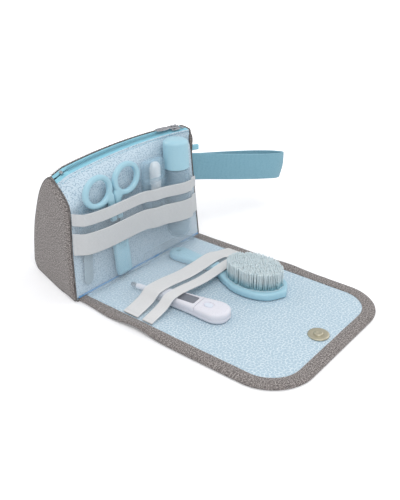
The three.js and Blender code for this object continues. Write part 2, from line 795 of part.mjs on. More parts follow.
function buildFrontPocket(bag) {
  const edge = halfWidthAt(0, frontNarrowHigh) - seat;
  const radius = aspiratorRadius;
  const run = [
    [-edge, pocketSeam],
    [fileX - fileHandleWidth / 3, scissorsFront * 0.8],
    [scissorsX - ringSpread * 1.35, scissorsFront],
    [scissorsX, scissorsFront],
    [caseX - caseWidth * 0.62, scissorsFront * 1.04],
    [caseX - caseWidth * 0.3, caseFront * 0.97],
    [caseX + caseWidth * 0.1, caseFront * 1.12],
    [aspiratorX - radius * 0.55, aspiratorFront * 0.97],
    [aspiratorX, aspiratorFront],
    [aspiratorX + radius * 0.6, aspiratorFront * 0.92],
    [aspiratorX + radius * 1.3, aspiratorFront * 0.66],
    [edge, pocketSeam],
  ];
  const drop = (x) => rightEndDrop * Math.max(0, (x - aspiratorX) / (edge - aspiratorX)) ** 1.3;
  const shallow = scissorsFront * 1.06;
  const deep = (out) => Math.max(0, Math.min(1, (out - shallow) / (aspiratorFront - shallow)));
  const footAt = (x, out) => frontPocketFoot + frontFootRise * Math.min(1, deep(out) * 4);
  const footTurn = frontPocketFoot + capFootRise;
  const turnRise = (out) => 0.4 * Math.min(1, deep(out) * 4) + 0.6 * deep(out);
  const turnAt = (x, out) => footTurn + (aspiratorLow - footTurn - 2 * seat) * turnRise(out);
  const fall = (v) => Math.max(0, (v - aspiratorLow) / (frontNarrowHigh - aspiratorLow));
  const place = (x, n, v) => frontPlace(x, n, v - drop(x) * fall(v));
  const band = (low, high) => bandGeometry(run, low, high, drop, frontPlace);
  piece(bag, 'front_pocket_film', 'film', filmGeometry(run, footAt, turnAt, frontNarrowHigh, place));
  piece(bag, 'front_wide_band', 'elastic', band(frontWideLow, frontWideHigh));
  piece(bag, 'front_narrow_band', 'elastic', band(frontNarrowLow, frontNarrowHigh));
}

// The flap: its shell carries a raised binding round an inset lining, and its tip folds

const liningInset = bindingWidth + seat;

function lowerOutline(inset, endInset) {
  const shape = new THREE.Shape();
  const half = flapHalfWidth - inset;
  const near = -seat - endInset;
  const far = -foldAt + seat / 2 + (endInset ? seat : 0);
  shape.moveTo(-half, near);
  shape.lineTo(half, near);
  shape.lineTo(half, far);
  shape.lineTo(-half, far);
  return shape;
}

function tipOutline(inset, endInset) {
  const shape = new THREE.Shape();
  const half = flapHalfWidth - inset;
  const near = -foldAt - seat / 2 - endInset;
  const far = -flapLength + inset;
  const radius = flapTipRadius - inset;
  shape.moveTo(half, near);
  shape.lineTo(-half, near);
  shape.absarc(-half + radius, far + radius, radius, Math.PI, 1.5 * Math.PI);
  shape.absarc(half - radius, far + radius, radius, 1.5 * Math.PI, 2 * Math.PI);
  return shape;
}

function buildFlapLower(flap) {
  const tray = lowerOutline(bindingWidth, -overrun);
  const recess = plate(tray, flapThick).translate(0, 0, shellWall);
  piece(flap, 'flap_lower_shell', 'tweed', cut(plate(lowerOutline(0, 0), flapThick), recess));
  const lining = plate(lowerOutline(liningInset, seat), liningWall);
  piece(flap, 'flap_lower_lining', 'lining', lining.translate(0, 0, shellWall + seat));
}

function buildFlapTip(tip) {
  const recess = plate(tipOutline(bindingWidth, -overrun), flapThick).translate(0, 0, shellWall);
  const washer = plate(oval(2 * snapRadius, 2 * snapRadius), snapWasher);
  const pocketWidth = 2 * (snapRadius + seat);
  const pocket = plate(oval(pocketWidth, pocketWidth), snapWasher + 2 * seat + overrun);
  pocket.translate(0, -snapAt, shellWall - snapWasher - seat);
  piece(tip, 'flap_tip_shell', 'tweed', cut(plate(tipOutline(0, 0), flapThick), recess, pocket));
  piece(tip, 'snap_washer', 'nickel', washer.translate(0, -snapAt, shellWall - snapWasher));

  const stem = snapBoss / 2;
  const hole = plate(oval(2 * (stem + seat), 2 * (stem + seat)), overrun + liningWall);
  const lining = plate(tipOutline(liningInset, 0), liningWall);
  lining.translate(0, 0, shellWall + seat);
  piece(tip, 'flap_tip_lining', 'lining', cut(lining, hole.translate(0, -snapAt, shellWall)));

  const low = shellWall + seat;
  const face = shellWall + liningWall + 2 * seat;
  const profile = [
    [0, low], [stem, low], [stem, face], [snapRadius, face], [snapRadius, face + snapHeight / 3],
    [snapRadius - snapHeight / 3, face + snapHeight / 2], [snapBoss + runClear, face + snapHeight / 2],
    [snapBoss, face + snapHeight], [0, face + snapHeight],
  ];
  piece(tip, 'snap_stud', 'champagne', turned(profile).translate(0, -snapAt, 0));
}

const toolSeatZ = flapThick + seat;
const thermoTop = toolSeatZ + thermoThick;
const brushTop = toolSeatZ + brushThick;

function buildFlapPocket(flap) {
  const lining = shellWall + seat + liningWall;
  const edge = flapHalfWidth - bindingWidth - 2 * seat;
  const overThermo = thermoTop - lining + 2 * seat + filmWall;
  const overBrush = brushTop - lining + 2 * seat + filmWall;
  const thermoMiddle = thermoX + Math.tan(rad(thermoTurn)) * (flapWideFar - thermoNear);
  const run = [
    [-edge, pocketSeam],
    [thermoMiddle - thermoWindowWidth, overThermo * 0.55],
    [thermoMiddle - thermoWindowWidth * 0.55, overThermo * 0.98],
    [thermoMiddle, overThermo * 1.04],
    [thermoMiddle + thermoWindowWidth * 0.55, overThermo * 0.98],
    [(thermoMiddle + brushX) / 2, (overThermo + overBrush) * 0.42],
    [brushX - brushHandleWidth * 0.6, overBrush * 0.98],
    [brushX, overBrush * 1.04],
    [brushX + brushHandleWidth * 0.6, overBrush * 0.98],
    [brushX + brushHandleWidth * 1.2, overBrush * 0.6],
    [edge, pocketSeam],
  ];
  const place = (x, n, v) => new THREE.Vector3(x, -v, lining + n);
  const blendFrom = brushX - brushHandleWidth * 1.6;
  const nearBrush = (x) => Math.max(0, Math.min(1, (x - blendFrom) / (brushHandleWidth * 0.8)));
  const turnAt = (x) => thermoNear - seat - (thermoNear - brushNear) * nearBrush(x);
  const film = filmGeometry(run, () => flapPocketFoot, turnAt, flapNarrowFar, place);
  piece(flap, 'flap_pocket_film', 'film', film);
  const level = () => 0;
  piece(flap, 'flap_wide_band', 'elastic', bandGeometry(run, flapWideNear, flapWideFar, level, place));
  piece(flap, 'flap_narrow_band', 'elastic', bandGeometry(run, flapNarrowNear, flapNarrowFar, level, place));
}

// Stands a tool in the front pocket: its own Y runs up, and its own Z out of the bag's front
function inFrontPocket(bag, x, z, out, tilt) {
  const tool = groupAt(bag, x, (frontLean * z) / shoulderZ - out, z);
  const lean = new THREE.Matrix4().makeRotationX(Math.PI / 2 - Math.atan2(frontLean, shoulderZ));
  const roll = new THREE.Matrix4().makeRotationZ(rad(tilt));
  tool.rotation.setFromRotationMatrix(lean.multiply(roll));
  return tool;
}

const tangFoot = bladeWidth * 1.2; // where the tang starts above the pivot

function bladeShape(side) {
  const shape = new THREE.Shape();
  const half = bladeWidth / 2;
  shape.moveTo(-side * (tangWidth + tangInset), tangLength);
  shape.lineTo(-side * tangInset, tangLength);
  shape.lineTo(-side * tangInset, tangFoot);
  shape.lineTo(side * half, half);
  shape.lineTo(side * half, -half);
  shape.quadraticCurveTo(side * half, -bladeLength * 0.7, side * half * 0.5, -bladeLength);
  shape.lineTo(-side * half * 0.1, -bladeLength);
  shape.lineTo(-side * half * 0.3, -half);
  shape.lineTo(-side * half, half);
  return shape;
}

// One ring handle with its shank down to the pivot, on the side that its ring is on
function handleGeometry(side, z) {
  const middle = (ringOuter + ringInner) / 2;
  const reach = (ringOuter - ringInner) / 2;
  const section = Array.from({ length: 9 }, (_, i) => {
    const angle = (2 * Math.PI * i) / 8;
    return [middle + reach * Math.cos(angle), (handleThick / 2) * Math.sin(angle)];
  });
  const ring = turned(section, roundSteps).translate(side * ringSpread, ringRise, 0);
  const shank = new THREE.Shape();
  const foot = tangFoot + 2 * seat;
  shank.moveTo((side * seat) / 2, foot);
  shank.lineTo((side * seat) / 2, ringRise - ringOuter * 0.5);
  shank.lineTo(side * (ringSpread - ringInner - reach), ringRise - ringInner * 0.45);
  shank.quadraticCurveTo(side * shankWidth, ringRise - ringOuter, side * shankWidth, foot);
  const bar = plate(shank, handleThick, 5).translate(0, 0, -handleThick / 2);
  const slot = box(tangWidth + 2 * seat, tangLength + seat, bladeWall + 2 * seat);
  slot.translate(side * (tangInset + tangWidth / 2), (tangLength + seat) / 2, z + bladeWall / 2);
  return cut(join(ring, bar), slot);
}

function buildScissors(bag) {
  const scissors = inFrontPocket(bag, scissorsX, scissorsPivotZ, scissorsOut, scissorsTilt);
  const moving = groupAt(scissors, 0, 0, 0);
  const pinHole = screwRadius + seat / 2;
  const pin = turned([[0, -overrun], [pinHole, -overrun], [pinHole, overrun], [0, overrun]], probeSteps);
  const halves = [['left', -1, seat / 2, moving], ['right', 1, -seat / 2 - bladeWall, scissors]];
  for (const [name, side, z, parent] of halves) {
    const blade = plate(bladeShape(-side), bladeWall, 4).translate(0, 0, z);
    piece(parent, `scissor_blade_${name}`, 'steel', cut(blade, pin));
    piece(parent, `scissor_handle_${name}`, 'bluePlastic', handleGeometry(side, z));
  }
  const face = bladeWall + seat;
  const screw = [
    [0, -face - screwHeadHeight], [screwHead, -face - screwHeadHeight], [screwHead, -face],
    [screwRadius, -face], [screwRadius, face], [screwHead, face], [screwHead, face + screwHeadHeight],
    [0, face + screwHeadHeight],
  ];
  piece(scissors, 'scissor_pivot_screw', 'steel', turned(screw, screwSteps));

  const capShape = rounded(capWidth, capThick, capThick / 2.4);
  const capHole = rounded(capWidth - 2 * capWall, capThick - 2 * capWall, capThick / 2.4 - capWall);
  const sleeve = softPlate(capShape, capLength, capWall, 5);
  const bore = plate(capHole, capLength, 4).translate(0, 0, capWall);
  const ribs = Array.from({ length: gripRibs }, (_, i) => {
    const rib = new THREE.CylinderGeometry(gripRibRadius, gripRibRadius, gripRibLength, 8);
    const x = ((i + 0.5) / gripRibs - 0.5) * (capWidth - capThick);
    return rib.rotateX(Math.PI / 2).translate(x, -capThick / 2, capLength - gripRibLength / 2 - 2 * capWall);
  });
  const cap = cut(join(sleeve, ...ribs), bore).rotateX(-Math.PI / 2).translate(0, -capGap - capLength, 0);
  piece(scissors, 'scissor_blade_cap', 'bluePlastic', cap);
}

function buildNailFile(bag) {
  const file = inFrontPocket(bag, fileX, fileMiddleZ, seat, fileTilt);
  const half = fileHandleThick / 2;
  const outline = rounded(fileHandleWidth, fileHandleLength, fileHandleWidth / 2.3);
  const handle = softPlate(outline, fileHandleThick, half / 2);
  const slot = box(fileBladeWidth + 2 * seat, fileTang + seat + overrun, fileBladeThick + 2 * seat);
  slot.translate(0, -fileHandleLength / 2 + (fileTang + seat - overrun) / 2, half);
  piece(file, 'nail_file_handle', 'clearPlastic', cut(handle, slot).translate(0, fileHandleLength / 2, 0));
  const length = fileBladeLength + fileTang;
  const blade = plate(rounded(fileBladeWidth, length, fileBladeWidth / 2.2), fileBladeThick);
  blade.translate(0, fileTang - length / 2, half - fileBladeThick / 2);
  piece(file, 'nail_file_blade', 'steel', blade);
}

// Stands an upright tool in the front pocket, leaning as the bag's front does
function leaning(bag, x, z, out) {
  const tool = groupAt(bag, x, (frontLean * z) / shoulderZ - out, z);
  tool.rotation.x = -Math.atan2(frontLean, shoulderZ);
  return tool;
}

function buildCase(bag) {
  const holder = leaning(bag, caseX, caseLow, caseDepth / 2 + 2 * seat);
  const outer = oval(caseWidth, caseDepth);
  const hollow = oval(caseWidth - 2 * caseWall, caseDepth - 2 * caseWall);
  const steps = roundSteps / 2;
  const cup = softPlate(outer, caseBodyHeight, caseWall / 2, steps);
  const well = plate(hollow, caseBodyHeight, steps).translate(0, 0, caseWall);
  piece(holder, 'finger_brush_case', 'clearPlastic', cut(cup, well));

  const lid = groupAt(holder, 0, 0, caseBodyHeight + seat);
  const top = softPlate(outer, caseLidHeight, caseWall * 2, steps);
  const inset = 2 * (caseWall + seat);
  const spigot = plate(oval(caseWidth - inset, caseDepth - inset), caseLip + embed, steps);
  const lidInset = inset + 2 * caseWall;
  const wellHeight = caseLip + caseLidHeight - caseWall;
  const lidWell = plate(oval(caseWidth - lidInset, caseDepth - lidInset), wellHeight, steps);
  const shell = join(top, spigot.translate(0, 0, -caseLip));
  piece(lid, 'finger_brush_case_lid', 'clearPlastic', cut(shell, lidWell.translate(0, 0, -caseLip)));

  const fingerLow = caseBodyHeight + caseLidHeight - fingerHeight - 2 * caseWall - seat;
  const finger = groupAt(holder, fingerShift, 0, fingerLow);
  const inner = fingerRadius - fingerWall;
  const dome = fingerRadius * 0.8;
  const sleeve = [
    [inner, 0], [fingerRadius, 0], [fingerRadius, fingerHeight - dome],
    [fingerRadius * 0.82, fingerHeight - dome * 0.35], [fingerRadius * 0.4, fingerHeight - fingerWall * 0.3],
    [0, fingerHeight], [0, fingerHeight - fingerWall], [inner * 0.75, fingerHeight - dome * 0.5],
    [inner, fingerHeight - dome], [inner, 0],
  ];
  const nubs = [];
  for (let row = 0; row < fingerNubRows; row += 1) {
    for (let i = 0; i < fingerNubsAcross; i += 1) {
      const nub = new THREE.CylinderGeometry(fingerNubRadius * 0.7, fingerNubRadius, fingerNubLength, 4);
      const turn = rad(-90 + fingerNubTurn * (i - (fingerNubsAcross - 1) / 2));
      nub.rotateX(Math.PI / 2).translate(0, 0, fingerRadius + fingerNubLength / 2 - embed);
      nub.rotateX(Math.PI / 2).rotateZ(turn);
      nubs.push(nub.translate(0, 0, fingerHeight - dome - fingerNubStep * (row + 0.5)));
    }
  }
  piece(finger, 'finger_brush', 'silicone', join(turned(sleeve, probeSteps), ...nubs));
  const stepHeight = fingerLow - caseWall - 2 * seat;
  const pegHeight = stepHeight + fingerHeight * 0.4;
  const peg = inner - seat;
  const stand = [
    [0, 0], [fingerRadius, 0], [fingerRadius, stepHeight], [peg, stepHeight], [peg * 0.85, pegHeight],
    [0, pegHeight],
  ];
  const standBody = turned(stand, screwSteps).translate(fingerShift, 0, caseWall + seat);
  piece(holder, 'finger_brush_stand', 'clearPlastic', standBody);
}

function buildAspirator(bag) {
  const aspirator = leaning(bag, aspiratorX, aspiratorLow, aspiratorOut);
  const capFoot = aspiratorHigh - aspiratorCapHeight - aspiratorLow;
  const shoulder = capFoot - seat;
  const wall = aspiratorWall;
  const radius = aspiratorRadius;
  const bottle = [
    [0, 0], [bottleFootRadius, 0], [radius - wall * 0.4, bottleFootRise * 0.6], [radius, bottleFootRise],
    [radius, shoulder], [neckRadius, shoulder], [neckRadius, shoulder + neckHeight],
    [neckRadius - wall, shoulder + neckHeight], [neckRadius - wall, shoulder - wall],
    [radius - wall, shoulder - wall], [radius - wall, bottleFootRise], [bottleFootRadius - wall, wall],
    [0, wall],
  ];
  piece(aspirator, 'aspirator_bottle', 'clearPlastic', turned(bottle, probeSteps));
  const sealLow = shoulder + neckHeight + seat;
  const bore = nozzleBore + seat;
  const seal = [[bore, 0], [neckRadius, 0], [neckRadius, sealHeight], [bore, sealHeight], [bore, 0]];
  piece(aspirator, 'aspirator_seal', 'silicone', turned(seal, probeSteps).translate(0, 0, sealLow));
  const nozzleLow = sealLow + sealHeight + seat;
  const nozzle = [
    [nozzleBore, 0], [nozzleFoot, 0], [nozzleFoot, wall], [nozzleTip * 1.3, nozzleHeight * 0.45],
    [nozzleTip, nozzleHeight * 0.9], [nozzleBore, nozzleHeight], [nozzleBore, 0],
  ];
  piece(aspirator, 'aspirator_nozzle', 'silicone', turned(nozzle, probeSteps).translate(0, 0, nozzleLow));

  const cap = groupAt(aspirator, 0, 0, capFoot);
  const top = aspiratorCapHeight;
  const profile = [
    [radius - wall, 0], [radius, 0], [radius, top - wall * 2], [radius - wall * 0.6, top - wall * 0.6],
    [radius - wall * 2, top], [0, top], [0, top - wall], [radius - wall * 2, top - wall],
    [radius - wall, top - wall * 2], [radius - wall, 0],
  ];
  piece(cap, 'aspirator_cap', 'bluePlastic', turned(profile));
}

// The brush lies along the flap, its own Y running from the handle's end to the head's tip
function brushOutline(inset) {
  const length = brushFar - brushNear;
  const head = length - brushHeadLength;
  const half = (width) => width / 2 - inset;
  const points = [
    [inset, 0], [inset + brushHandleWidth * 0.12, half(brushHandleWidth) * 0.62],
    [inset + brushHandleWidth * 0.45, half(brushHandleWidth)], [head * 0.45, half(brushHandleWidth * 0.86)],
    [head * 0.85, half(brushNeckWidth)], [head + brushHeadLength * 0.12, half(brushHeadWidth * 0.66)],
    [head + brushHeadLength * 0.36, half(brushHeadWidth * 0.97)],
    [head + brushHeadLength * 0.62, half(brushHeadWidth)],
    [head + brushHeadLength * 0.86, half(brushHeadWidth * 0.7)], [length - inset, 0],
  ];
  return outlineAlong(points, true);
}

function buildBrush(flap) {
  const brush = groupAt(flap, brushX, -brushNear, toolSeatZ);
  brush.rotation.z = Math.PI;
  const body = softOutline(brushOutline, brushThick, brushBevel);
  const holeTop = brushThick + overrun;
  const bore = [[0, -overrun], [brushHoleRadius, -overrun], [brushHoleRadius, holeTop], [0, holeTop]];
  const hole = turned(bore, probeSteps);
  const headMiddle = brushFar - brushNear - brushHeadLength / 2;
  const padWidth = brushHeadWidth - 2 * padInset;
  const padLength = brushHeadLength - 2 * padEnds;
  const recess = plate(oval(padWidth + 2 * seat, padLength + 2 * seat), padThick + overrun, roundSteps);
  recess.translate(0, headMiddle, brushThick - padThick);
  piece(brush, 'brush_body', 'bluePlastic', cut(body, hole.translate(0, brushHoleFrom, 0), recess));
  const bristles = bristleGeometry(padWidth, padLength);
  piece(brush, 'brush_bristles', 'bristle', bristles.translate(0, headMiddle, brushThick - padThick + seat));
}

// Places of the bristles, in staggered rows inside the pad's oval
function bristlePlaces(width, length) {
  const places = [];
  const rows = Math.floor((length / 2 - bristleStep) / bristleStep);
  for (let row = -rows; row <= rows; row += 1) {
    const y = row * bristleStep;
    const reach = (width / 2) * Math.sqrt(1 - (y / (length / 2)) ** 2) - bristleStep * 0.7;
    const shift = row % 2 ? bristleStep / 2 : 0;
    const count = Math.floor((reach - shift) / bristleStep);
    for (let i = -count - (shift ? 1 : 0); i <= count; i += 1) {
      places.push(new THREE.Vector2(i * bristleStep + shift, y));
    }
  }
  return places;
}

// Tapered strands of three sides that rise out of a slice of the pad, shorter towards its sides
function bristleGeometry(width, length) {
  const contour = oval(width, length).getPoints(roundSteps / 2).slice(0, -1);
  const corner = (centre, radius, i) => {
    const angle = (2 * Math.PI * i) / 3;
    return new THREE.Vector2(centre.x + radius * Math.cos(angle), centre.y + radius * Math.sin(angle));
  };
  const places = bristlePlaces(width, length);
  const holes = places.map((centre) => [0, 1, 2].map((i) => corner(centre, bristleRadius, i)).reverse());
  const positions = [];
  const faces = [];
  const put = (point, z) => positions.push(point.x, point.y, z);
  const edge = contour.length;
  contour.forEach((point) => put(point, padThick));
  holes.flat().forEach((point) => put(point, padThick));
  const tips = positions.length / 3;
  places.forEach((centre) => {
    const height = bristleLength * (1 - 0.1 * (centre.x / (width / 2)) ** 2);
    [2, 1, 0].forEach((i) => put(corner(centre, bristleRadius * 0.7, i), padThick + height));
  });
  const under = positions.length / 3;
  contour.forEach((point) => put(point, 0));
  faces.push(...THREE.ShapeUtils.triangulateShape(contour, holes));
  const floor = THREE.ShapeUtils.triangulateShape(contour, []);
  faces.push(...floor.map(([a, b, c]) => [a + under, c + under, b + under]));
  for (let i = 0; i < edge; i += 1) {
    const next = (i + 1) % edge;
    faces.push([i, next + under, next], [i, i + under, next + under]);
  }
  places.forEach((_, strand) => {
    const base = edge + 3 * strand;
    const tip = tips + 3 * strand;
    for (let i = 0; i < 3; i += 1) {
      const next = (i + 1) % 3;
      faces.push([base + next, base + i, tip + i], [base + next, tip + i, tip + next]);
    }
    faces.push([tip, tip + 2, tip + 1]);
  });
  const geometry = new THREE.BufferGeometry();
  geometry.setAttribute('position', new THREE.Float32BufferAttribute(positions, 3));
  geometry.setIndex(faces.flat());
  return facingOut(geometry);
}

// The thermometer lies along the flap, its own Y running from the probe's tip to its wide end
function thermoOutline(inset) {
  const half = (width) => width / 2 - inset;
  const start = probeLength + inset;
  const end = thermoLength - inset;
  const points = [
    [start, half(thermoNeckWidth) * 0.7], [start + thermoNeckWidth * 0.3, half(thermoNeckWidth)],
    [windowAt - windowLength * 0.7, half(thermoWindowWidth * 0.92)],
    [windowAt + windowLength * 0.4, half(thermoWindowWidth * 1.08)],
    [buttonAt, half(thermoEndWidth * 0.97)], [thermoLength - thermoEndWidth * 0.42, half(thermoEndWidth)],
    [thermoLength - thermoEndWidth * 0.15, half(thermoEndWidth * 0.72)], [end, half(thermoEndWidth * 0.3)],
  ];
  return outlineAlong(points, false);
}

function buildThermometer(flap) {
  const thermo = groupAt(flap, thermoX, -thermoNear, toolSeatZ);
  thermo.rotation.z = Math.PI + rad(thermoTurn);
  const outer = softOutline(thermoOutline, thermoThick, thermoBevel);
  const hollow = new THREE.Shape(thermoOutline(thermoBevel));
  const inner = plate(hollow, thermoThick - 2 * thermoWall).translate(0, 0, thermoWall);
  const split = thermoThick * 0.45;
  const far = 2 * thermoLength;
  const upperHalf = box(far, far, thermoThick).translate(0, 0, split + seat / 2 + thermoThick / 2);
  const lowerHalf = box(far, far, thermoThick).translate(0, 0, split - seat / 2 - thermoThick / 2);

  const windowOutline = rounded(windowWidth + 2 * seat, windowLength + 2 * seat, windowThick);
  const windowCut = plate(windowOutline, overrun + windowThick);
  windowCut.translate(0, windowAt, thermoThick - windowThick - seat);
  const windowView = box(windowWidth - 2 * windowThick, windowLength - 2 * windowThick, thermoThick);
  windowView.translate(0, windowAt, thermoThick);
  const buttonCut = plate(oval(buttonWidth + 2 * runClear, buttonLength + 2 * runClear), thermoThick, 8);
  buttonCut.translate(0, buttonAt, thermoThick / 2);
  const socketRadius = probeRadius + seat;
  const socket = new THREE.CylinderGeometry(socketRadius, socketRadius, probeLength, probeSteps);
  socket.translate(0, probeLength / 2 + thermoBevel, thermoThick / 2);
  const upper = cut(meet(outer, upperHalf), inner, windowCut, windowView, buttonCut, socket);
  piece(thermo, 'thermometer_upper_shell', 'whitePlastic', upper);

  const doorAt = thermoLength - doorLength * 0.95;
  const doorOutline = rounded(doorWidth + 2 * seat, doorLength + 2 * seat, doorThick * 2);
  const doorCut = plate(doorOutline, doorThick + overrun + seat).translate(0, doorAt, -overrun);
  const cellBore = 2 * (cellRadius + seat);
  const cellCut = plate(oval(cellBore, cellBore), thermoThick).translate(0, doorAt, 0);
  const lower = cut(meet(outer, lowerHalf), inner, socket, doorCut, cellCut);
  const boardAt = buttonAt - boardLength / 2 + buttonLength / 2;
  const boardZ = thermoThick - windowThick - seat - 2 * thermoWall - boardThick;
  const postHeight = boardZ - seat - thermoWall + embed;
  const posts = boardPostShares.map((share) => {
    const post = new THREE.CylinderGeometry(boardPostRadius, boardPostRadius, postHeight, screwSteps);
    const middle = thermoWall - embed + postHeight / 2;
    return post.rotateX(Math.PI / 2).translate(0, boardAt + share * boardLength, middle);
  });
  piece(thermo, 'thermometer_lower_shell', 'whitePlastic', join(lower, ...posts));
  const door = plate(rounded(doorWidth, doorLength, doorThick * 2), doorThick, 3);
  piece(thermo, 'thermometer_battery_door', 'whitePlastic', door.translate(0, doorAt, seat / 3));
  const cell = turned([[0, 0], [cellRadius, 0], [cellRadius, cellHeight], [0, cellHeight]], 16);
  piece(thermo, 'thermometer_cell', 'nickel', cell.translate(0, doorAt, doorThick + seat + seat / 3));

  const lcd = plate(rounded(windowWidth, windowLength, windowThick), windowThick, 3);
  piece(thermo, 'thermometer_window', 'darkGlass', lcd.translate(0, windowAt, thermoThick - windowThick));

  const board = plate(rounded(boardWidth, boardLength, boardThick), boardThick, 2);
  piece(thermo, 'thermometer_board', 'board', board.translate(0, boardAt, boardZ));

  const buttonFoot = boardZ + boardThick + buttonTravel + runClear;
  const key = softPlate(oval(buttonWidth, buttonLength), thermoThick + seat - buttonFoot, seat, 10);
  piece(thermo, 'thermometer_button', 'whitePlastic', key.translate(0, buttonAt, buttonFoot));

  const sleeveEnd = metalTip + seat;
  const probeEnd = probeLength + thermoBevel - seat;
  const tipRadius = probeRadius * 0.8;
  const probe = new THREE.CylinderGeometry(probeRadius, tipRadius, probeEnd - sleeveEnd, probeSteps);
  probe.translate(0, (probeEnd + sleeveEnd) / 2, thermoThick / 2);
  piece(thermo, 'thermometer_probe', 'silicone', probe);
  const tip = [
    [0, 0], [tipRadius, 0], [tipRadius, metalTip - tipRadius], [tipRadius * 0.8, metalTip - tipRadius * 0.4],
    [tipRadius * 0.45, metalTip - tipRadius * 0.1], [0, metalTip],
  ];
  const tipBody = turned(tip, 12).rotateX(Math.PI / 2).translate(0, metalTip, thermoThick / 2);
  piece(thermo, 'thermometer_metal_tip', 'steel', tipBody);
}

const kit = new THREE.Group();
const bag = groupAt(kit, 0, -bagDepth / 2, 0);
buildBag(bag);
buildSlider(bag);
buildStrap(bag);
buildFrontPocket(bag);
buildScissors(bag);
buildNailFile(bag);
buildCase(bag);
buildAspirator(bag);
const flap = groupAt(bag, 0, 0, 0);
buildFlapLower(flap);
buildFlapTip(groupAt(flap, 0, 0, 0));
buildFlapPocket(flap);
buildBrush(flap);
buildThermometer(flap);

export default kit;
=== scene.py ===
"""A baby grooming kit, dressed: a tweed bag with a printed lining, clear pockets, elastic bands and tools.

Sizes are in millimetres until a mesh is made. Every mesh is in the row frame in metres: X along the flap's
fold, Y from the flap's tip towards the back of the bag, Z up from the table.
"""

import json
import logging
import math
from collections.abc import Callable, Sequence
from dataclasses import dataclass, field
from enum import Enum

import bmesh
import bpy
from mathutils import Matrix, Vector, noise

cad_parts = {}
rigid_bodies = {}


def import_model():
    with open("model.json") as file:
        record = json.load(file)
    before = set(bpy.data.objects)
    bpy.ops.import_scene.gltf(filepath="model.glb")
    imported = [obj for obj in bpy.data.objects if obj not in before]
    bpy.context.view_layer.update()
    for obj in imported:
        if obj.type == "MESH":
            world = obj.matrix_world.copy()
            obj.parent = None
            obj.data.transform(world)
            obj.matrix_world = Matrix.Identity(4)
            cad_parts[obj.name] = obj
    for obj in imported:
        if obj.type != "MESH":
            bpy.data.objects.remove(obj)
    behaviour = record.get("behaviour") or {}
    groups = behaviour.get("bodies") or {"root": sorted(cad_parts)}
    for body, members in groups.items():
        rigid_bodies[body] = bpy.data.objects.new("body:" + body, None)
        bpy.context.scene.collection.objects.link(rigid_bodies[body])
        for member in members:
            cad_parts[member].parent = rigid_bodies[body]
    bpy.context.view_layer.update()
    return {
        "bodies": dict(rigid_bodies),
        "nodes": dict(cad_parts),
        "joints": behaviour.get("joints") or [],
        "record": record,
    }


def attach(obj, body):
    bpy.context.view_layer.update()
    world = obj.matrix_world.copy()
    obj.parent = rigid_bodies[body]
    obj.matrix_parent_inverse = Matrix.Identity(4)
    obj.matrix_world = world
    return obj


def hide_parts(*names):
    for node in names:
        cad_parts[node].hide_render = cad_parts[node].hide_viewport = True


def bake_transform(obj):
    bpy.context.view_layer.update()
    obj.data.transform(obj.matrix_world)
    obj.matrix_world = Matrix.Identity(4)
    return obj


Tree = bpy.types.NodeTree
Node = bpy.types.Node
Socket = bpy.types.NodeSocket
Piece = bpy.types.Object
Point = tuple[float, float]
Ring = list[Vector]
Marks = Sequence[Sequence[Point]]
Outline = Callable[[float], Sequence[Point]]
Runs = Sequence[tuple[Sequence[Vector], Sequence[Vector]]]

MM = 0.001
ROW_Y = -45.0  # the fold line, in the row frame
UP = Vector((0, 0, 1))

log = logging.getLogger("grooming_kit")


# Colours and shader nodes


def srgb(hex_colour: str) -> tuple[float, float, float, float]:
    """Turns an sRGB hex colour into the linear colour that Blender takes.

    Args:
        hex_colour: six digits, with or without a hash.

    Returns:
        Red, green, blue and an alpha of 1.
    """
    digits = hex_colour.lstrip("#")
    parts = [int(digits[i : i + 2], 16) / 255 for i in (0, 2, 4)]
    linear = [c / 12.92 if c <= 0.04045 else ((c + 0.055) / 1.055) ** 2.4 for c in parts]
    return (linear[0], linear[1], linear[2], 1.0)


def feed(node: Node, inputs: dict) -> Node:
    """Gives a node its inputs.

    Args:
        node: what takes them.
        inputs: values, or sockets to link, by input name or number.

    Returns:
        The same node.
    """
    for key, value in inputs.items():
        if isinstance(value, Socket):
            node.id_data.links.new(value, node.inputs[key])
        else:
            node.inputs[key].default_value = value
    return node


def add_node(tree: Tree, kind: str, inputs: dict | None = None, **settings) -> Node:
    """Adds a node.

    Args:
        tree: shader or geometry node tree.
        kind: the node's type.
        inputs: what feed gives it.
        settings: properties of the node.

    Returns:
        The new node.
    """
    node = tree.nodes.new(kind)
    for key, value in settings.items():
        setattr(node, key, value)
    return feed(node, inputs or {})


def ramp(tree: Tree, factor: Socket, stops: Sequence[tuple[float, str]]) -> Socket:
    """Adds a colour ramp over a factor.

    Args:
        tree: shader tree.
        factor: what the ramp reads.
        stops: place and hex colour of each stop.

    Returns:
        The ramp's colour.
    """
    node = add_node(tree, "ShaderNodeValToRGB", {"Fac": factor})
    elements = node.color_ramp.elements
    while len(elements) < len(stops):
        elements.new(0.5)
    for element, (place, colour) in zip(elements, stops):
        element.position = place
        element.color = srgb(colour)
    return node.outputs["Color"]


def span(tree: Tree, value: Socket, source: Point, target: Point) -> Socket:
    """Maps a value from one range to another, and keeps it inside the second."""
    inputs = {"Value": value, "From Min": source[0], "From Max": source[1], "To Min": target[0],
              "To Max": target[1]}
    return add_node(tree, "ShaderNodeMapRange", inputs).outputs["Result"]


def sums(tree: Tree, kind: str, a: object, b: object) -> Socket:
    """Adds one step of arithmetic on two values or sockets."""
    return add_node(tree, "ShaderNodeMath", {0: a, 1: b}, operation=kind).outputs["Value"]


def mixed(tree: Tree, share: Socket, low: object, high: object) -> Socket:
    """Mixes two colours or colour sockets."""
    return add_node(tree, "ShaderNodeMix", {0: share, 6: low, 7: high}, data_type="RGBA").outputs[2]


class Space(Enum):
    """Where a pattern gets its coordinates."""

    CLOTH = "UV"
    SOLID = "Object"


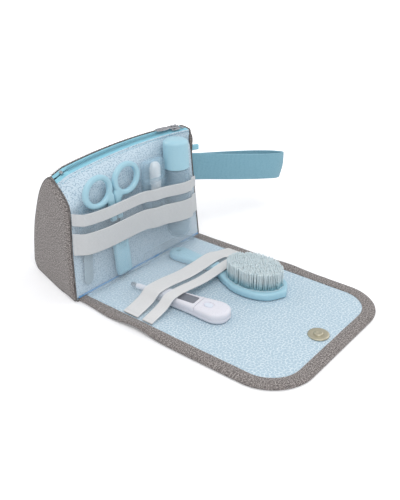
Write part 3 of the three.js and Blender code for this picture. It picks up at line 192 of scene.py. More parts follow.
@dataclass(frozen=True)
class Finish:
    """A surface finish with its base colour and gloss; kinds of finish add their own detail."""

    name: str
    slot: str
    colour: str
    roughness: float = 0.5
    metallic: float = 0.0

    def material(self) -> bpy.types.Material:
        """Returns this finish's material, made on first use."""
        found = bpy.data.materials.get(self.name)
        if found:
            return found
        made = bpy.data.materials.new(self.name)
        made.use_nodes = True
        shader = made.node_tree.nodes["Principled BSDF"]
        feed(shader, {"Base Color": srgb(self.colour), "Roughness": self.roughness,
                      "Metallic": self.metallic})
        self.detail(made.node_tree, shader)
        return made

    def detail(self, tree: Tree, shader: Node) -> None:
        """Adds the finish's pattern to its material."""

    def place(self, tree: Tree, space: Space) -> Socket:
        """Returns the coordinates that a pattern reads."""
        return add_node(tree, "ShaderNodeTexCoord").outputs[space.value]

    def grain(self, tree: Tree, where: Socket, size_mm: float, detail: float = 2.0) -> Socket:
        """Returns noise whose spots are about size_mm across."""
        inputs = {"Vector": where, "Scale": 1000 / size_mm, "Detail": detail}
        return add_node(tree, "ShaderNodeTexNoise", inputs).outputs["Fac"]

    def ribs(self, tree: Tree, where: Socket, pitch_mm: float, axis: str) -> Socket:
        """Returns soft ribs pitch_mm apart along an axis."""
        inputs = {"Vector": where, "Scale": math.pi / 10 * 1000 / pitch_mm, "Distortion": 0.6, "Detail": 1.0}
        return add_node(tree, "ShaderNodeTexWave", inputs, bands_direction=axis).outputs["Fac"]

    def clear(self, tree: Tree, shader: Node, alpha: float, rim: float) -> None:
        """Makes a wall clear where it is looked through squarely, and denser where it turns away."""
        facing = add_node(tree, "ShaderNodeLayerWeight", {"Blend": 0.35}).outputs["Facing"]
        feed(shader, {"Alpha": span(tree, sums(tree, "POWER", facing, 2.0), (0.0, 1.0), (alpha, rim))})

    def bump(self, tree: Tree, shader: Node, height: Socket, depth_mm: float, strength: float = 1.0) -> None:
        """Feeds a height to the shader's normal."""
        inputs = {"Height": height, "Distance": depth_mm * MM, "Strength": strength}
        feed(shader, {"Normal": add_node(tree, "ShaderNodeBump", inputs).outputs["Normal"]})

    def uneven_gloss(self, tree: Tree, shader: Node, skin: Socket, less: float, more: float) -> None:
        """Lets the roughness change a little with a pattern."""
        rough = (max(0.02, self.roughness - less), self.roughness + more)
        feed(shader, {"Roughness": span(tree, skin, (0.3, 0.7), rough)})


@dataclass(frozen=True)
class Tweed(Finish):
    """Heather tweed: pale and dark yarns in slubs and flecks, matt, with a little fuzz at grazing angles."""

    dark: str = "#524d4b"
    light: str = "#aea7a3"
    yarn_mm: float = 1.5  # drawn coarser than the real 0.9 mm yarn, which would not show

    def detail(self, tree: Tree, shader: Node) -> None:
        """Adds the heather colours and the yarns' relief."""
        where = self.place(tree, Space.CLOTH)
        slub = self.grain(tree, where, self.yarn_mm, 1.0)
        fleck = self.grain(tree, where, self.yarn_mm * 0.55, 0.0)
        yarn = sums(tree, "MULTIPLY", sums(tree, "ADD", slub, fleck), 0.5)
        colour = ramp(tree, yarn, [(0.38, self.dark), (0.5, self.colour), (0.62, self.light)])
        feed(shader, {"Base Color": colour, "Sheen Weight": 0.25, "Sheen Roughness": 0.5,
                      "Specular IOR Level": 0.2})
        self.bump(tree, shader, yarn, 0.6)


@dataclass(frozen=True)
class Print(Finish):
    """Printed cotton: small broken strokes on pale blue, with flecks of another blue between them."""

    stroke: str = "#f3f8fb"
    fleck: str = "#93b9dc"
    cell_mm: float = 3.6

    def cells(self, tree: Tree, place: Socket, feature: str) -> Socket:
        """Returns a distance within the print's uneven cells."""
        inputs = {"Vector": place, "Scale": 1000 / self.cell_mm, "Randomness": 0.85}
        settings = {"feature": feature, "voronoi_dimensions": "2D"}
        return add_node(tree, "ShaderNodeTexVoronoi", inputs, **settings).outputs["Distance"]

    def detail(self, tree: Tree, shader: Node) -> None:
        """Adds the print and the cotton's weave."""
        where = self.place(tree, Space.CLOTH)
        bend = add_node(tree, "ShaderNodeTexNoise",
                        {"Vector": where, "Scale": 260.0, "Detail": 0.0}).outputs["Color"]
        inputs = {0: bend, 1: (0.0014, 0.0014, 0.0), 2: where}
        place = add_node(tree, "ShaderNodeVectorMath", inputs, operation="MULTIPLY_ADD").outputs[0]
        edge = span(tree, self.cells(tree, place, "DISTANCE_TO_EDGE"), (0.05, 0.13), (1.0, 0.0))
        gaps = span(tree, self.grain(tree, where, self.cell_mm * 0.55, 0.0), (0.40, 0.52), (0.0, 1.0))
        spots = span(tree, self.cells(tree, place, "F1"), (0.16, 0.30), (0.75, 0.0))
        ground = mixed(tree, spots, srgb(self.colour), srgb(self.fleck))
        colour = mixed(tree, sums(tree, "MULTIPLY", edge, gaps), ground, srgb(self.stroke))
        feed(shader, {"Base Color": colour, "Sheen Weight": 0.1, "Specular IOR Level": 0.25})
        thread = sums(tree, "ADD", self.ribs(tree, where, 0.9, "X"), self.ribs(tree, where, 0.9, "Y"))
        self.bump(tree, shader, thread, 0.08)


@dataclass(frozen=True)
class Webbing(Finish):
    """Woven tape: ribs across its length, with the cross threads between them."""

    dark: str = "#5fa3bb"
    rib_mm: float = 1.7
    thread_mm: float = 1.1
    rib_share: float = 0.6

    def detail(self, tree: Tree, shader: Node) -> None:
        """Adds the ribs and threads, painted shade that darkens the colour where they are low, and a slight
        random change of colour.
        """
        where = self.place(tree, Space.CLOTH)
        rib = sums(tree, "MULTIPLY", self.ribs(tree, where, self.rib_mm, "X"), self.rib_share)
        thread = sums(tree, "MULTIPLY", self.ribs(tree, where, self.thread_mm, "Y"), 1 - self.rib_share)
        height = sums(tree, "ADD", rib, thread)
        patch = sums(tree, "MULTIPLY", self.grain(tree, where, 2.2, 3.0), 0.6)
        # painted shade: the colour darkens in the low valleys between ribs and threads; the patches add
        # random tone
        shade = sums(tree, "ADD", sums(tree, "MULTIPLY", height, 0.5), patch)
        colour = ramp(tree, shade, [(0.25, self.dark), (0.62, self.colour)])
        feed(shader, {"Base Color": colour, "Sheen Weight": 0.2, "Specular IOR Level": 0.25})
        self.bump(tree, shader, height, 0.25)


@dataclass(frozen=True)
class Film(Finish):
    """Soft clear vinyl: thin, bluish where it lies over cloth, with gentle ripples that catch the light."""

    alpha: float = 0.09
    rim: float = 0.25

    def detail(self, tree: Tree, shader: Node) -> None:
        """Makes the film clear and rippled."""
        where = self.place(tree, Space.SOLID)
        self.clear(tree, shader, self.alpha, self.rim)
        fine = sums(tree, "MULTIPLY", self.grain(tree, where, 7.0, 0.0), 0.2)
        self.bump(tree, shader, sums(tree, "ADD", self.grain(tree, where, 26.0, 1.0), fine), 3.0, 0.5)


@dataclass(frozen=True)
class Moulded(Finish):
    """Injection-moulded plastic: smooth, with a faint uneven gloss from the mould."""

    alpha: float = 1.0
    rim: float = 1.0
    scatter: float = 0.0
    texture_mm: float = 1.2

    def detail(self, tree: Tree, shader: Node) -> None:
        """Adds the uneven gloss, and makes clear plastic clear."""
        skin = self.grain(tree, self.place(tree, Space.SOLID), self.texture_mm, 2.0)
        self.uneven_gloss(tree, shader, skin, 0.05, 0.07)
        self.bump(tree, shader, skin, 0.02)
        if self.alpha < 1:
            self.clear(tree, shader, self.alpha, self.rim)
        if self.scatter:
            scatter = {"Subsurface Weight": self.scatter, "Subsurface Scale": 0.003}
            feed(shader, {**scatter, "Subsurface Radius": (0.8, 0.9, 1.0)})


@dataclass(frozen=True)
class Fibre(Finish):
    """Drawn nylon bristles: near white at their tips, and bluer at their feet."""

    foot: str = "#9ed2de"
    low_mm: float = 12.5
    high_mm: float = 25.0

    def detail(self, tree: Tree, shader: Node) -> None:
        """Adds the change of colour from foot to tip."""
        place = add_node(tree, "ShaderNodeSeparateXYZ",
                         {"Vector": self.place(tree, Space.SOLID)}).outputs["Z"]
        share = span(tree, place, (self.low_mm * MM, self.high_mm * MM), (0.0, 1.0))
        colour = ramp(tree, share, [(0.0, self.foot), (0.75, self.colour)])
        scatter = {"Subsurface Weight": 0.4, "Subsurface Scale": 0.004, "Subsurface Radius": (0.8, 0.9, 1.0)}
        feed(shader, {"Base Color": colour, "Specular IOR Level": 0.3, **scatter})


@dataclass(frozen=True)
class Metal(Finish):
    """Plated or brushed metal with fine lines along one axis."""

    line_mm: float = 0.5
    line_depth_mm: float = 0.02

    def detail(self, tree: Tree, shader: Node) -> None:
        """Adds the brushing."""
        inputs = {"Vector": self.place(tree, Space.SOLID), "Scale": (1.0, 1.0, 0.12)}
        stretched = add_node(tree, "ShaderNodeMapping", inputs).outputs[0]
        lines = self.grain(tree, stretched, self.line_mm, 2.0)
        self.uneven_gloss(tree, shader, lines, 0.08, 0.1)
        self.bump(tree, shader, lines, self.line_depth_mm)


TWEED = Tweed("heather_tweed", "tweed_fabric", "#7d7673", 0.95)
PIPING = Tweed("dark_piping", "tweed_fabric", "#5e5a58", 0.95, dark="#3d3a39", light="#7d7976")
LINING = Print("printed_cotton", "lining_fabric", "#b6cbd7", 0.85, stroke="#dde8ee", fleck="#a6bfcf",
               cell_mm=3.3)
FRONT_LINING = Print("sprigged_cotton", "lining_fabric", "#c9d9e3", 0.85,
                     stroke="#93aec0", fleck="#b9cdd9", cell_mm=3.1)
TAPE = Webbing("zip_tape_weave", "zip_tape", "#94cfdf", 0.8, dark="#82c2d6", rib_mm=1.3, thread_mm=0.9)
COIL = Moulded("nylon_coil", "zip_tape", "#8cc3d3", 0.35)
WEBBING = Webbing("ribbed_webbing", "webbing", "#86b3c3", 0.85, dark="#6f9fb1")
# one elastic in a shaded and a lit copy: ELASTIC for the upright front bands, and the flap bands' copy
# painted lighter for the light that falls on the flat flap
ELASTIC = Webbing("ribbed_elastic", "elastic", "#cfd1d2", 0.8,
                  dark="#c5c8c9", rib_mm=1.6, thread_mm=1.3, rib_share=0.1)
FLAP_ELASTIC_PAINTED_LIT = Webbing("pale_elastic", "elastic", "#e0e0df", 0.8,
                       dark="#d8d8d8", rib_mm=1.6, thread_mm=1.3, rib_share=0.1)
TAB = Webbing("tab_tape", "webbing", "#a9d9e6", 0.8, dark="#93cadb", rib_mm=1.3, thread_mm=0.9)
FOLD_LINE = Webbing("fold_welt", "lining_fabric", "#6a9fce", 0.8, dark="#4f87bb", rib_mm=1.2, thread_mm=0.8)
# FILM's near-white colour is partly the vinyl's faint blue tint and partly a painted veil for the light the
# vinyl reflects
FILM = Film("clear_vinyl", "clear_film", "#e2eff8", 0.12)
NICKEL = Metal("nickel_plate", "nickel", "#b4b5b8", 0.25, 1.0)
CHAMPAGNE = Metal("champagne_plate", "champagne_metal", "#c1bba5", 0.42, 1.0)
STEEL = Metal("brushed_steel", "steel", "#c3c7cb", 0.3, 1.0)
GRIT = Moulded("sapphire_grit", "steel", "#9fb0b9", 0.75, texture_mm=0.35)
BLUE = Moulded("moulded_blue_abs", "blue_plastic", "#a3cbd9", 0.32, scatter=0.15)
CLEAR = Moulded("clear_styrene", "clear_plastic", "#b5d3e4", 0.1, alpha=0.16, rim=0.7)
WHITE = Moulded("moulded_white_abs", "white_plastic", "#dfdee5", 0.3, scatter=0.1)
BUTTON = Moulded("moulded_button", "white_plastic", "#d9dfe9", 0.35, texture_mm=0.8)
SILICONE = Moulded("soft_silicone", "silicone", "#eeeceb", 0.5, scatter=0.3)
PROBE = Moulded("soft_probe_rubber", "silicone", "#e9e7ec", 0.45, scatter=0.2)
FIBRE = Fibre("nylon_fibre", "bristle", "#d3e2e6", 0.7)
PAD = Moulded("soft_pad", "bristle", "#b9d4de", 0.7, texture_mm=0.8)
WINDOW = Moulded("dark_display", "dark_window", "#74777f", 0.15)
BOARD = Moulded("circuit_board_green", "circuit_board", "#3c7a52", 0.5)
THREAD = Moulded("polyester_thread", "tweed_fabric", "#9b928b", 0.8)


# Curves and outlines


def smoothstep(value: float, low: float, high: float) -> float:
    """Returns 0 below low, 1 above high, and a smooth step between."""
    share = min(1.0, max(0.0, (value - low) / (high - low)))
    return share * share * (3 - 2 * share)


def turns(count: int) -> list[float]:
    """Returns even angles round a circle."""
    return [math.tau * i / count for i in range(count)]


def shares(steps: int) -> list[float]:
    """Returns even places from -1 to 1."""
    return [2 * i / steps - 1 for i in range(steps + 1)]


def squared(value: float, power: float) -> float:
    """Raises a sine or cosine to a power and keeps its sign, which makes a circle squarer or rounder."""
    return math.copysign(abs(value) ** power, value)


def uniform_spline(points: Sequence[Point], share: float) -> tuple[Point, Point]:
    """Returns the point and the direction at a share of a spline through evenly weighted points."""
    scaled = share * (len(points) - 1)
    start = min(int(scaled), len(points) - 2)
    t = scaled - start
    run = [points[max(0, start - 1)], points[start], points[start + 1],
           points[min(len(points) - 1, start + 2)]]

    def blend(a: float, b: float, c: float, d: float) -> Point:
        v0, v1 = (c - a) / 2, (d - b) / 2
        cubic, square = 2 * b - 2 * c + v0 + v1, -3 * b + 3 * c - 2 * v0 - v1
        return cubic * t**3 + square * t**2 + v0 * t + b, 3 * cubic * t**2 + 2 * square * t + v0

    x, dx = blend(*(p[0] for p in run))
    y, dy = blend(*(p[1] for p in run))
    size = math.hypot(dx, dy) or 1.0
    return (x, y), (dx / size, dy / size)


def centripetal(run: Sequence[Vector], times: Sequence[float], share: float) -> Vector:
    """Returns a point on the curve between the second and third of four points."""
    t = times[1] + (times[2] - times[1]) * share

    def mix(a: Vector, b: Vector, low: float, high: float) -> Vector:
        return a * ((high - t) / (high - low)) + b * ((t - low) / (high - low))

    first = [mix(run[i], run[i + 1], times[i], times[i + 1]) for i in range(3)]
    second = [mix(first[i], first[i + 1], times[i], times[i + 2]) for i in range(2)]
    return mix(*second, times[1], times[2])


def sample_spline(points: Sequence[Point], steps: int) -> list[Point]:
    """Returns steps + 1 points along a smooth curve through the given ones, spaced by length.

    Args:
        points: what the curve passes through.
        steps: how many stretches it is cut into.
    """
    vectors = [Vector((x, y, 0)) for x, y in points]
    knots = [0.0]
    for a, b in zip(vectors, vectors[1:]):
        knots.append(knots[-1] + max(1e-6, (b - a).length) ** 0.5)
    run = [vectors[0] * 2 - vectors[1], *vectors, vectors[-1] * 2 - vectors[-2]]
    times = [knots[0] - (knots[1] - knots[0]), *knots, knots[-1] + (knots[-1] - knots[-2])]
    fine: list[Vector] = []
    for i in range(1, len(run) - 2):
        fine += [centripetal(run[i - 1 : i + 3], times[i - 1 : i + 3], k / 12) for k in range(12)]
    fine.append(vectors[-1].copy())
    lengths = [0.0]
    for a, b in zip(fine, fine[1:]):
        lengths.append(lengths[-1] + (b - a).length)
    result: list[Point] = []
    at = 0
    for step in range(steps + 1):
        target = lengths[-1] * step / steps
        while at < len(fine) - 2 and lengths[at + 1] < target:
            at += 1
        share = (target - lengths[at]) / max(1e-9, lengths[at + 1] - lengths[at])
        point = fine[at].lerp(fine[at + 1], min(1.0, share))
        result.append((point.x, point.y))
    return result


def superellipse(width: float, depth: float, power: float, steps: int = 64) -> list[Point]:
    """Returns a closed outline: power 2 is an oval, and more is squarer."""
    p = 2 / power
    return [(squared(math.cos(a), p) * width / 2, squared(math.sin(a), p) * depth / 2) for a in turns(steps)]


def rounded_box(width: float, length: float, radius: float, steps: int = 8) -> list[Point]:
    """Returns a rectangle's outline with round corners."""
    points = []
    for cx, cy, start in ((1, 1, 0), (-1, 1, 90), (-1, -1, 180), (1, -1, 270)):
        x, y = cx * (width / 2 - radius), cy * (length / 2 - radius)
        for i in range(steps + 1):
            angle = math.radians(start + 90 * i / steps)
            points.append((x + radius * math.cos(angle), y + radius * math.sin(angle)))
    return points


def smooth_outline(stations: Sequence[Point], round_end: bool, steps: int = 60) -> list[Point]:
    """Returns a symmetric outline along +Y from stations of distance and half width."""
    swapped = [(half, far) for far, half in stations]
    right = [uniform_spline(swapped, i / steps)[0] for i in range(steps + 1)]
    left = [(-x, y) for x, y in reversed(right)]
    return [*right, *left[1:-1]] if round_end else [*right, *left]


def oval(width: float, length: float, at: float = 0.0, power: float = 2.0, steps: int = 48) -> Outline:
    """Returns an oval that can be drawn at any inset, at a distance along Y."""
    return lambda inset: [
        (x, y + at) for x, y in superellipse(width - 2 * inset, length - 2 * inset, power, steps)]


def box(width: float, length: float, radius: float, at: float, least: float = 0.0, steps: int = 8) -> Outline:
    """Returns a rounded box that can be drawn at any inset; its corners keep a least radius."""
    return lambda inset: [(x, y + at) for x, y in rounded_box(width - 2 * inset, length - 2 * inset,
                                                              max(radius - inset, least), steps)]


# Meshes


@dataclass
class Surface:
    """Vertices and faces in millimetres that become one mesh, with a UV in metres for cloth."""

    verts: list[Vector] = field(default_factory=list)
    faces: list[tuple[int, ...]] = field(default_factory=list)
    uvs: list[Point] = field(default_factory=list)
    slots: list[int] = field(default_factory=list)

    def grid(self, rows: Sequence[Ring], slot: int = 0, closed: bool = False,
             uvs: Marks | None = None) -> list[list[int]]:
        """Adds rows of as many points each, and skins them.

        Args:
            rows: points by row.
            slot: which material the faces take.
            closed: whether each row is a loop.
            uvs: a UV in metres for each point; by default its X and Y.

        Returns:
            The vertex numbers by row.
        """
        base = len(self.verts)
        width = len(rows[0])
        for r, row in enumerate(rows):
            self.verts += row
            self.uvs += uvs[r] if uvs else [(point.x * MM, point.y * MM) for point in row]
        numbers = [[base + r * width + c for c in range(width)] for r in range(len(rows))]
        for a, b in zip(numbers, numbers[1:]):
            for c in range(width if closed else width - 1):
                d = (c + 1) % width
                self.face((a[c], a[d], b[d], b[c]), slot)
        return numbers

    def face(self, ring: Sequence[int], slot: int = 0) -> None:
        """Adds one face."""
        self.faces.append(tuple(ring))
        self.slots.append(slot)

    def loft(self, rings: Sequence[Ring], slot: int = 0, uvs: Marks | None = None) -> "Surface":
        """Adds closed loops as one skin with both ends closed."""
        numbers = self.grid(rings, slot, closed=True, uvs=uvs)
        self.face(numbers[0][::-1], slot)
        self.face(numbers[-1], slot)
        return self

    def loop(self, rings: Sequence[Ring]) -> "Surface":
        """Adds closed loops whose last one meets the first, as a ring's do."""
        self.grid([*rings, rings[0]], closed=True)
        return self

    def tube(self, path: Sequence[Vector], radius: float, sides: int = 10, closed: bool = False) -> "Surface":
        """Adds a tube along a path, its ends closed unless the path is a loop."""
        rings = tube(path, radius, sides, closed)
        return self.loop(rings) if closed else self.loft(rings)

    def sheet(self, rows: Sequence[Ring], under: Sequence[Ring], uvs: Marks,
              under_slot: int = 0) -> "Surface":
        """Adds a closed sheet between an upper and a lower grid of points."""
        top = self.grid(rows, uvs=uvs)
        bottom = self.grid([row[::-1] for row in under], under_slot, uvs=[row[::-1] for row in uvs])
        width, height = len(rows[0]), len(rows)
        rim = [(0, c) for c in range(width)] + [(r, width - 1) for r in range(1, height)]
        rim += [(height - 1, c) for c in range(width - 2, -1, -1)]
        rim += [(r, 0) for r in range(height - 2, 0, -1)]
        for (r1, c1), (r2, c2) in zip(rim, rim[1:] + rim[:1]):
            self.face((top[r2][c2], top[r1][c1], bottom[r1][width - 1 - c1], bottom[r2][width - 1 - c2]))
        return self

    def build(self, name: str, finishes: Sequence[Finish], smooth: float = 40.0,
              place: Matrix | None = None) -> Piece:
        """Makes the mesh and its object.

        Args:
            name: the piece's name.
            finishes: one for each slot number used.
            smooth: edges below this angle, in degrees, are shaded smooth.
            place: carries the points, in millimetres, to the row frame.

        Returns:
            The new object, at the origin.
        """
        mesh = bpy.data.meshes.new(name)
        mesh.from_pydata([tuple((place @ v if place else v) * MM) for v in self.verts], [], self.faces)
        layer = mesh.uv_layers.new(name="cloth")
        for loop in mesh.loops:
            layer.data[loop.index].uv = self.uvs[loop.vertex_index]
        for finish in finishes:
            mesh.materials.append(finish.material())
        for polygon, slot in zip(mesh.polygons, self.slots):
            polygon.material_index = slot
        tidy(mesh)
        mesh.shade_smooth()
        mesh.set_sharp_from_angle(angle=math.radians(smooth))
        piece = stand(name, mesh)
        return piece


@dataclass
class Cloth:
    """A sheet worked out row by row: its two sides and its UV."""

    upper: list[Ring] = field(default_factory=list)
    under: list[Ring] = field(default_factory=list)
    marks: list[list[Point]] = field(default_factory=list)

    def row(self, spots: Sequence[tuple[Vector, Vector, Point]]) -> None:
        """Adds a row of upper points, lower points and places in the cloth, in millimetres."""
        self.upper.append([spot[0] for spot in spots])
        self.under.append([spot[1] for spot in spots])
        self.marks.append([(spot[2][0] * MM, spot[2][1] * MM) for spot in spots])

    def build(self, name: str, finishes: Sequence[Finish], smooth: float = 40.0,
              place: Matrix | None = None) -> Piece:
        """Makes the sheet; a second finish is for its lower side."""
        surface = Surface().sheet(self.upper, self.under, self.marks, len(finishes) - 1)
        return surface.build(name, finishes, smooth, place)


def stand(name: str, data: object) -> Piece:
    """Makes an object of a mesh, a lamp or a camera and links it to the scene."""
    made = bpy.data.objects.new(name, data)
    bpy.context.scene.collection.objects.link(made)
    return made


def tidy(mesh: bpy.types.Mesh) -> None:
    """Merges doubled vertices and turns the faces outwards."""
    work = bmesh.new()
    work.from_mesh(mesh)
    bmesh.ops.remove_doubles(work, verts=work.verts, dist=1e-6)
    bmesh.ops.recalc_face_normals(work, faces=work.faces)
    work.to_mesh(mesh)
    work.free()
    mesh.validate()


def lathe(profile: Sequence[Point], steps: int = 64) -> list[Ring]:
    """Turns a profile of radius and height about Z into rings."""
    return [[Vector((radius * math.cos(a), radius * math.sin(a), height)) for a in turns(steps)]
            for radius, height in profile]


def tube(path: Sequence[Vector], radius: float, sides: int = 10, closed: bool = False) -> list[Ring]:
    """Returns rings of a round tube along a path, without a twist."""
    count = len(path)
    rings: list[Ring] = []
    side = UP
    for i, point in enumerate(path):
        ahead = path[(i + 1) % count] if closed or i < count - 1 else point
        behind = path[i - 1] if closed or i > 0 else point
        tangent = (ahead - behind).normalized()
        side = (side - tangent * side.dot(tangent)).normalized()
        other = tangent.cross(side)
        rings.append([point + (side * math.cos(a) + other * math.sin(a)) * radius for a in turns(sides)])
    return rings


def levels(outline: Outline, profile: Sequence[Point]) -> list[Ring]:
    """Returns rings of an outline that can be drawn at any inset, for a profile of inset and height."""
    return [[Vector((x, y, z)) for x, y in outline(inset)] for inset, z in profile]


def eased(low: float, high: float, radius: float, steps: int = 5) -> list[Point]:
    """Returns insets and heights of a slab whose two edges are round."""
    arc = [(math.sin(a), math.cos(a)) for a in (math.pi / 2 * i / steps for i in range(steps + 1))]
    lower = [(radius * (1 - sine), low + radius * (1 - cosine)) for sine, cosine in arc]
    return [*lower, *((radius * (1 - cosine), high - radius * (1 - sine)) for sine, cosine in arc)]


def slab(outline: Outline, low: float, high: float, radius: float) -> Surface:
    """Makes a slab with round edges from an outline that can be drawn at any inset."""
    return Surface().loft(levels(outline, eased(low, high, radius)))


def remade(source: Piece) -> Piece:
    """Turns an object with modifiers into a plain mesh object of its result."""
    graph = bpy.context.evaluated_depsgraph_get()
    mesh = bpy.data.meshes.new_from_object(source.evaluated_get(graph))
    mesh.name = source.name
    source.modifiers.clear()
    old = source.data
    source.data = mesh
    bpy.data.meshes.remove(old)
    return source


def modify(piece: Piece, kind: str, **settings) -> None:
    """Adds a modifier with its settings."""
    modifier = piece.modifiers.new(kind.lower(), kind)
    for key, value in settings.items():
        setattr(modifier, key, value)


def carve(piece: Piece, tool: Surface, place: Matrix) -> Piece:
    """Cuts a tool's shape, in millimetres, out of a piece."""
    cutter = tool.build("cutter", [STEEL], place=place)
    modify(piece, "BOOLEAN", operation="DIFFERENCE", solver="EXACT", object=cutter)
    remade(piece)
    drop(cutter)
    piece.data.set_sharp_from_angle(angle=math.radians(34))
    return piece


def unshaded(piece: Piece) -> Piece:
    """Keeps a thin clear piece from shading what it covers, which it hardly does in truth."""
    piece.visible_shadow = False
    return piece


def ride(piece: Piece, body: str, *nodes: str) -> Piece:
    """Puts a piece on its body and hides the solids that it stands for."""
    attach(piece, body)
    if nodes:
        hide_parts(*nodes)
    log.info("%s rides on %s", piece.name, body)
    return piece


def bend(piece: Piece, low: str, high: str, start: Vector, end: Vector, *nodes: str) -> Piece:
    """Bakes a soft piece's place into its mesh, logs the two bodies it lies between, and hides the solids
    that it stands for.
    """
    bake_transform(piece)
    if nodes:
        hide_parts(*nodes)
    log.info("%s bends from %s to %s", piece.name, low, high)
    return piece


def refined(node: str, finish: Finish, edge_mm: float, body: str) -> Piece:
    """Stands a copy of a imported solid, with its edges eased, in for the solid.

    Args:
        node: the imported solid's name.
        finish: the copy's finish.
        edge_mm: width of the eased edges.
        body: what it rides on.
    """
    source = FRAME["nodes"][node]
    work = bmesh.new()
    work.from_mesh(source.data)
    work.transform(source.matrix_world)
    bmesh.ops.remove_doubles(work, verts=work.verts, dist=1e-6)
    bmesh.ops.dissolve_limit(work, angle_limit=math.radians(2), verts=work.verts, edges=work.edges)
    mesh = bpy.data.meshes.new(node + "_finished")
    work.to_mesh(mesh)
    work.free()
    mesh.materials.append(finish.material())
    piece = stand(node + "_finished", mesh)
    modify(piece, "BEVEL", width=edge_mm * MM, segments=2, limit_method="ANGLE", angle_limit=math.radians(34),
           use_clamp_overlap=True)
    remade(piece)
    piece.data.shade_smooth()
    piece.data.set_sharp_from_angle(angle=math.radians(38))
    return ride(piece, body, node)


# Geometry node trees


def new_tree(name: str, inputs: dict[str, str]) -> tuple[Tree, Node, Node]:
    """Starts a geometry tree with its sockets.

    Args:
        name: the tree's name.
        inputs: kind of each input after the geometry, by name.

    Returns:
        The tree, its input node and its output node.
    """
    tree = bpy.data.node_groups.new(name, "GeometryNodeTree")
    for label, kind in {"Geometry": "Geometry", **inputs, "Finish": "Material"}.items():
        tree.interface.new_socket(name=label, in_out="INPUT", socket_type="NodeSocket" + kind)
    tree.interface.new_socket(name="Geometry", in_out="OUTPUT", socket_type="NodeSocketGeometry")
    return tree, add_node(tree, "NodeGroupInput"), add_node(tree, "NodeGroupOutput")


def finish_tree(tree: Tree, start: Node, end: Node, points: Socket, rotation: Socket,
                scale: Socket | None = None) -> Tree:
    """Places the shape on the points, makes it real and gives it its finish."""
    shape = add_node(tree, "GeometryNodeObjectInfo", {"Object": start.outputs["Shape"]}).outputs["Geometry"]
    inputs = {"Points": points, "Instance": shape, "Rotation": rotation}
    if scale:
        inputs["Scale"] = scale
    placed = add_node(tree, "GeometryNodeInstanceOnPoints", inputs).outputs["Instances"]
    real = add_node(tree, "GeometryNodeRealizeInstances", {"Geometry": placed}).outputs["Geometry"]
    dressed = add_node(tree, "GeometryNodeSetMaterial",
                       {"Geometry": real, "Material": start.outputs["Finish"]})
    feed(end, {"Geometry": dressed.outputs["Geometry"]})
    return tree


def up_attribute(tree: Tree) -> Socket:
    """Reads the up direction that guide stores."""
    node = add_node(tree, "GeometryNodeInputNamedAttribute", {"Name": "up"}, data_type="FLOAT_VECTOR")
    return node.outputs["Attribute"]


def follow_tree() -> Tree:
    """Repeats a shape along a path: its X along the path and its Z along the path's up attribute."""
    tree, start, end = new_tree("repeat_along_path", {"Shape": "Object", "Spacing": "Float"})
    curve = add_node(tree, "GeometryNodeMeshToCurve", {"Mesh": start.outputs["Geometry"]}).outputs["Curve"]
    inputs = {"Curve": curve, "Length": start.outputs["Spacing"]}
    spaced = add_node(tree, "GeometryNodeResampleCurve", inputs, mode="LENGTH").outputs["Curve"]
    along = {"Vector": add_node(tree, "GeometryNodeInputTangent").outputs["Tangent"]}
    aligned = add_node(tree, "FunctionNodeAlignRotationToVector", along, axis="X").outputs["Rotation"]
    inputs = {"Rotation": aligned, "Vector": up_attribute(tree)}
    turned = add_node(tree, "FunctionNodeAlignRotationToVector", inputs, axis="Z", pivot_axis="X")
    return finish_tree(tree, start, end, spaced, turned.outputs["Rotation"])


def points_tree() -> Tree:
    """Stands a shape on each vertex, its Z along the vertex's up attribute."""
    tree, start, end = new_tree("stand_on_points", {"Shape": "Object"})
    turned = add_node(tree, "FunctionNodeAlignRotationToVector", {"Vector": up_attribute(tree)}, axis="Z")
    return finish_tree(tree, start, end, start.outputs["Geometry"], turned.outputs["Rotation"])


def scatter_tree() -> Tree:
    """Plants a shape all over a face, evenly spaced, each turned, tilted and scaled a little on its own."""
    sockets = {"Shape": "Object", "Spacing": "Float", "Tilt": "Float", "Seed": "Int"}
    tree, start, end = new_tree("plant_on_face", sockets)
    given = start.outputs
    inputs = {"Mesh": given["Geometry"], "Distance Min": given["Spacing"], "Density Max": 1.5e6,
              "Seed": given["Seed"]}
    spread = add_node(tree, "GeometryNodeDistributePointsOnFaces", inputs, distribute_method="POISSON")
    back = sums(tree, "MULTIPLY", given["Tilt"], -1.0)
    low = add_node(tree, "ShaderNodeCombineXYZ", {"X": back, "Y": back, "Z": 0.0}).outputs[0]
    high = add_node(tree, "ShaderNodeCombineXYZ",
                    {"X": given["Tilt"], "Y": given["Tilt"], "Z": math.tau}).outputs[0]
    inputs = {0: low, 1: high, "Seed": given["Seed"]}
    euler = add_node(tree, "FunctionNodeRandomValue", inputs, data_type="FLOAT_VECTOR").outputs[0]
    turn = add_node(tree, "FunctionNodeEulerToRotation", {"Euler": euler}).outputs["Rotation"]
    inputs = {2: 0.975, 3: 1.0, "Seed": given["Seed"]}
    size = add_node(tree, "FunctionNodeRandomValue", inputs, data_type="FLOAT").outputs[1]
    scale = add_node(tree, "ShaderNodeCombineXYZ", {"X": 1.0, "Y": 1.0, "Z": size}).outputs[0]
    return finish_tree(tree, start, end, spread.outputs["Points"], turn, scale)


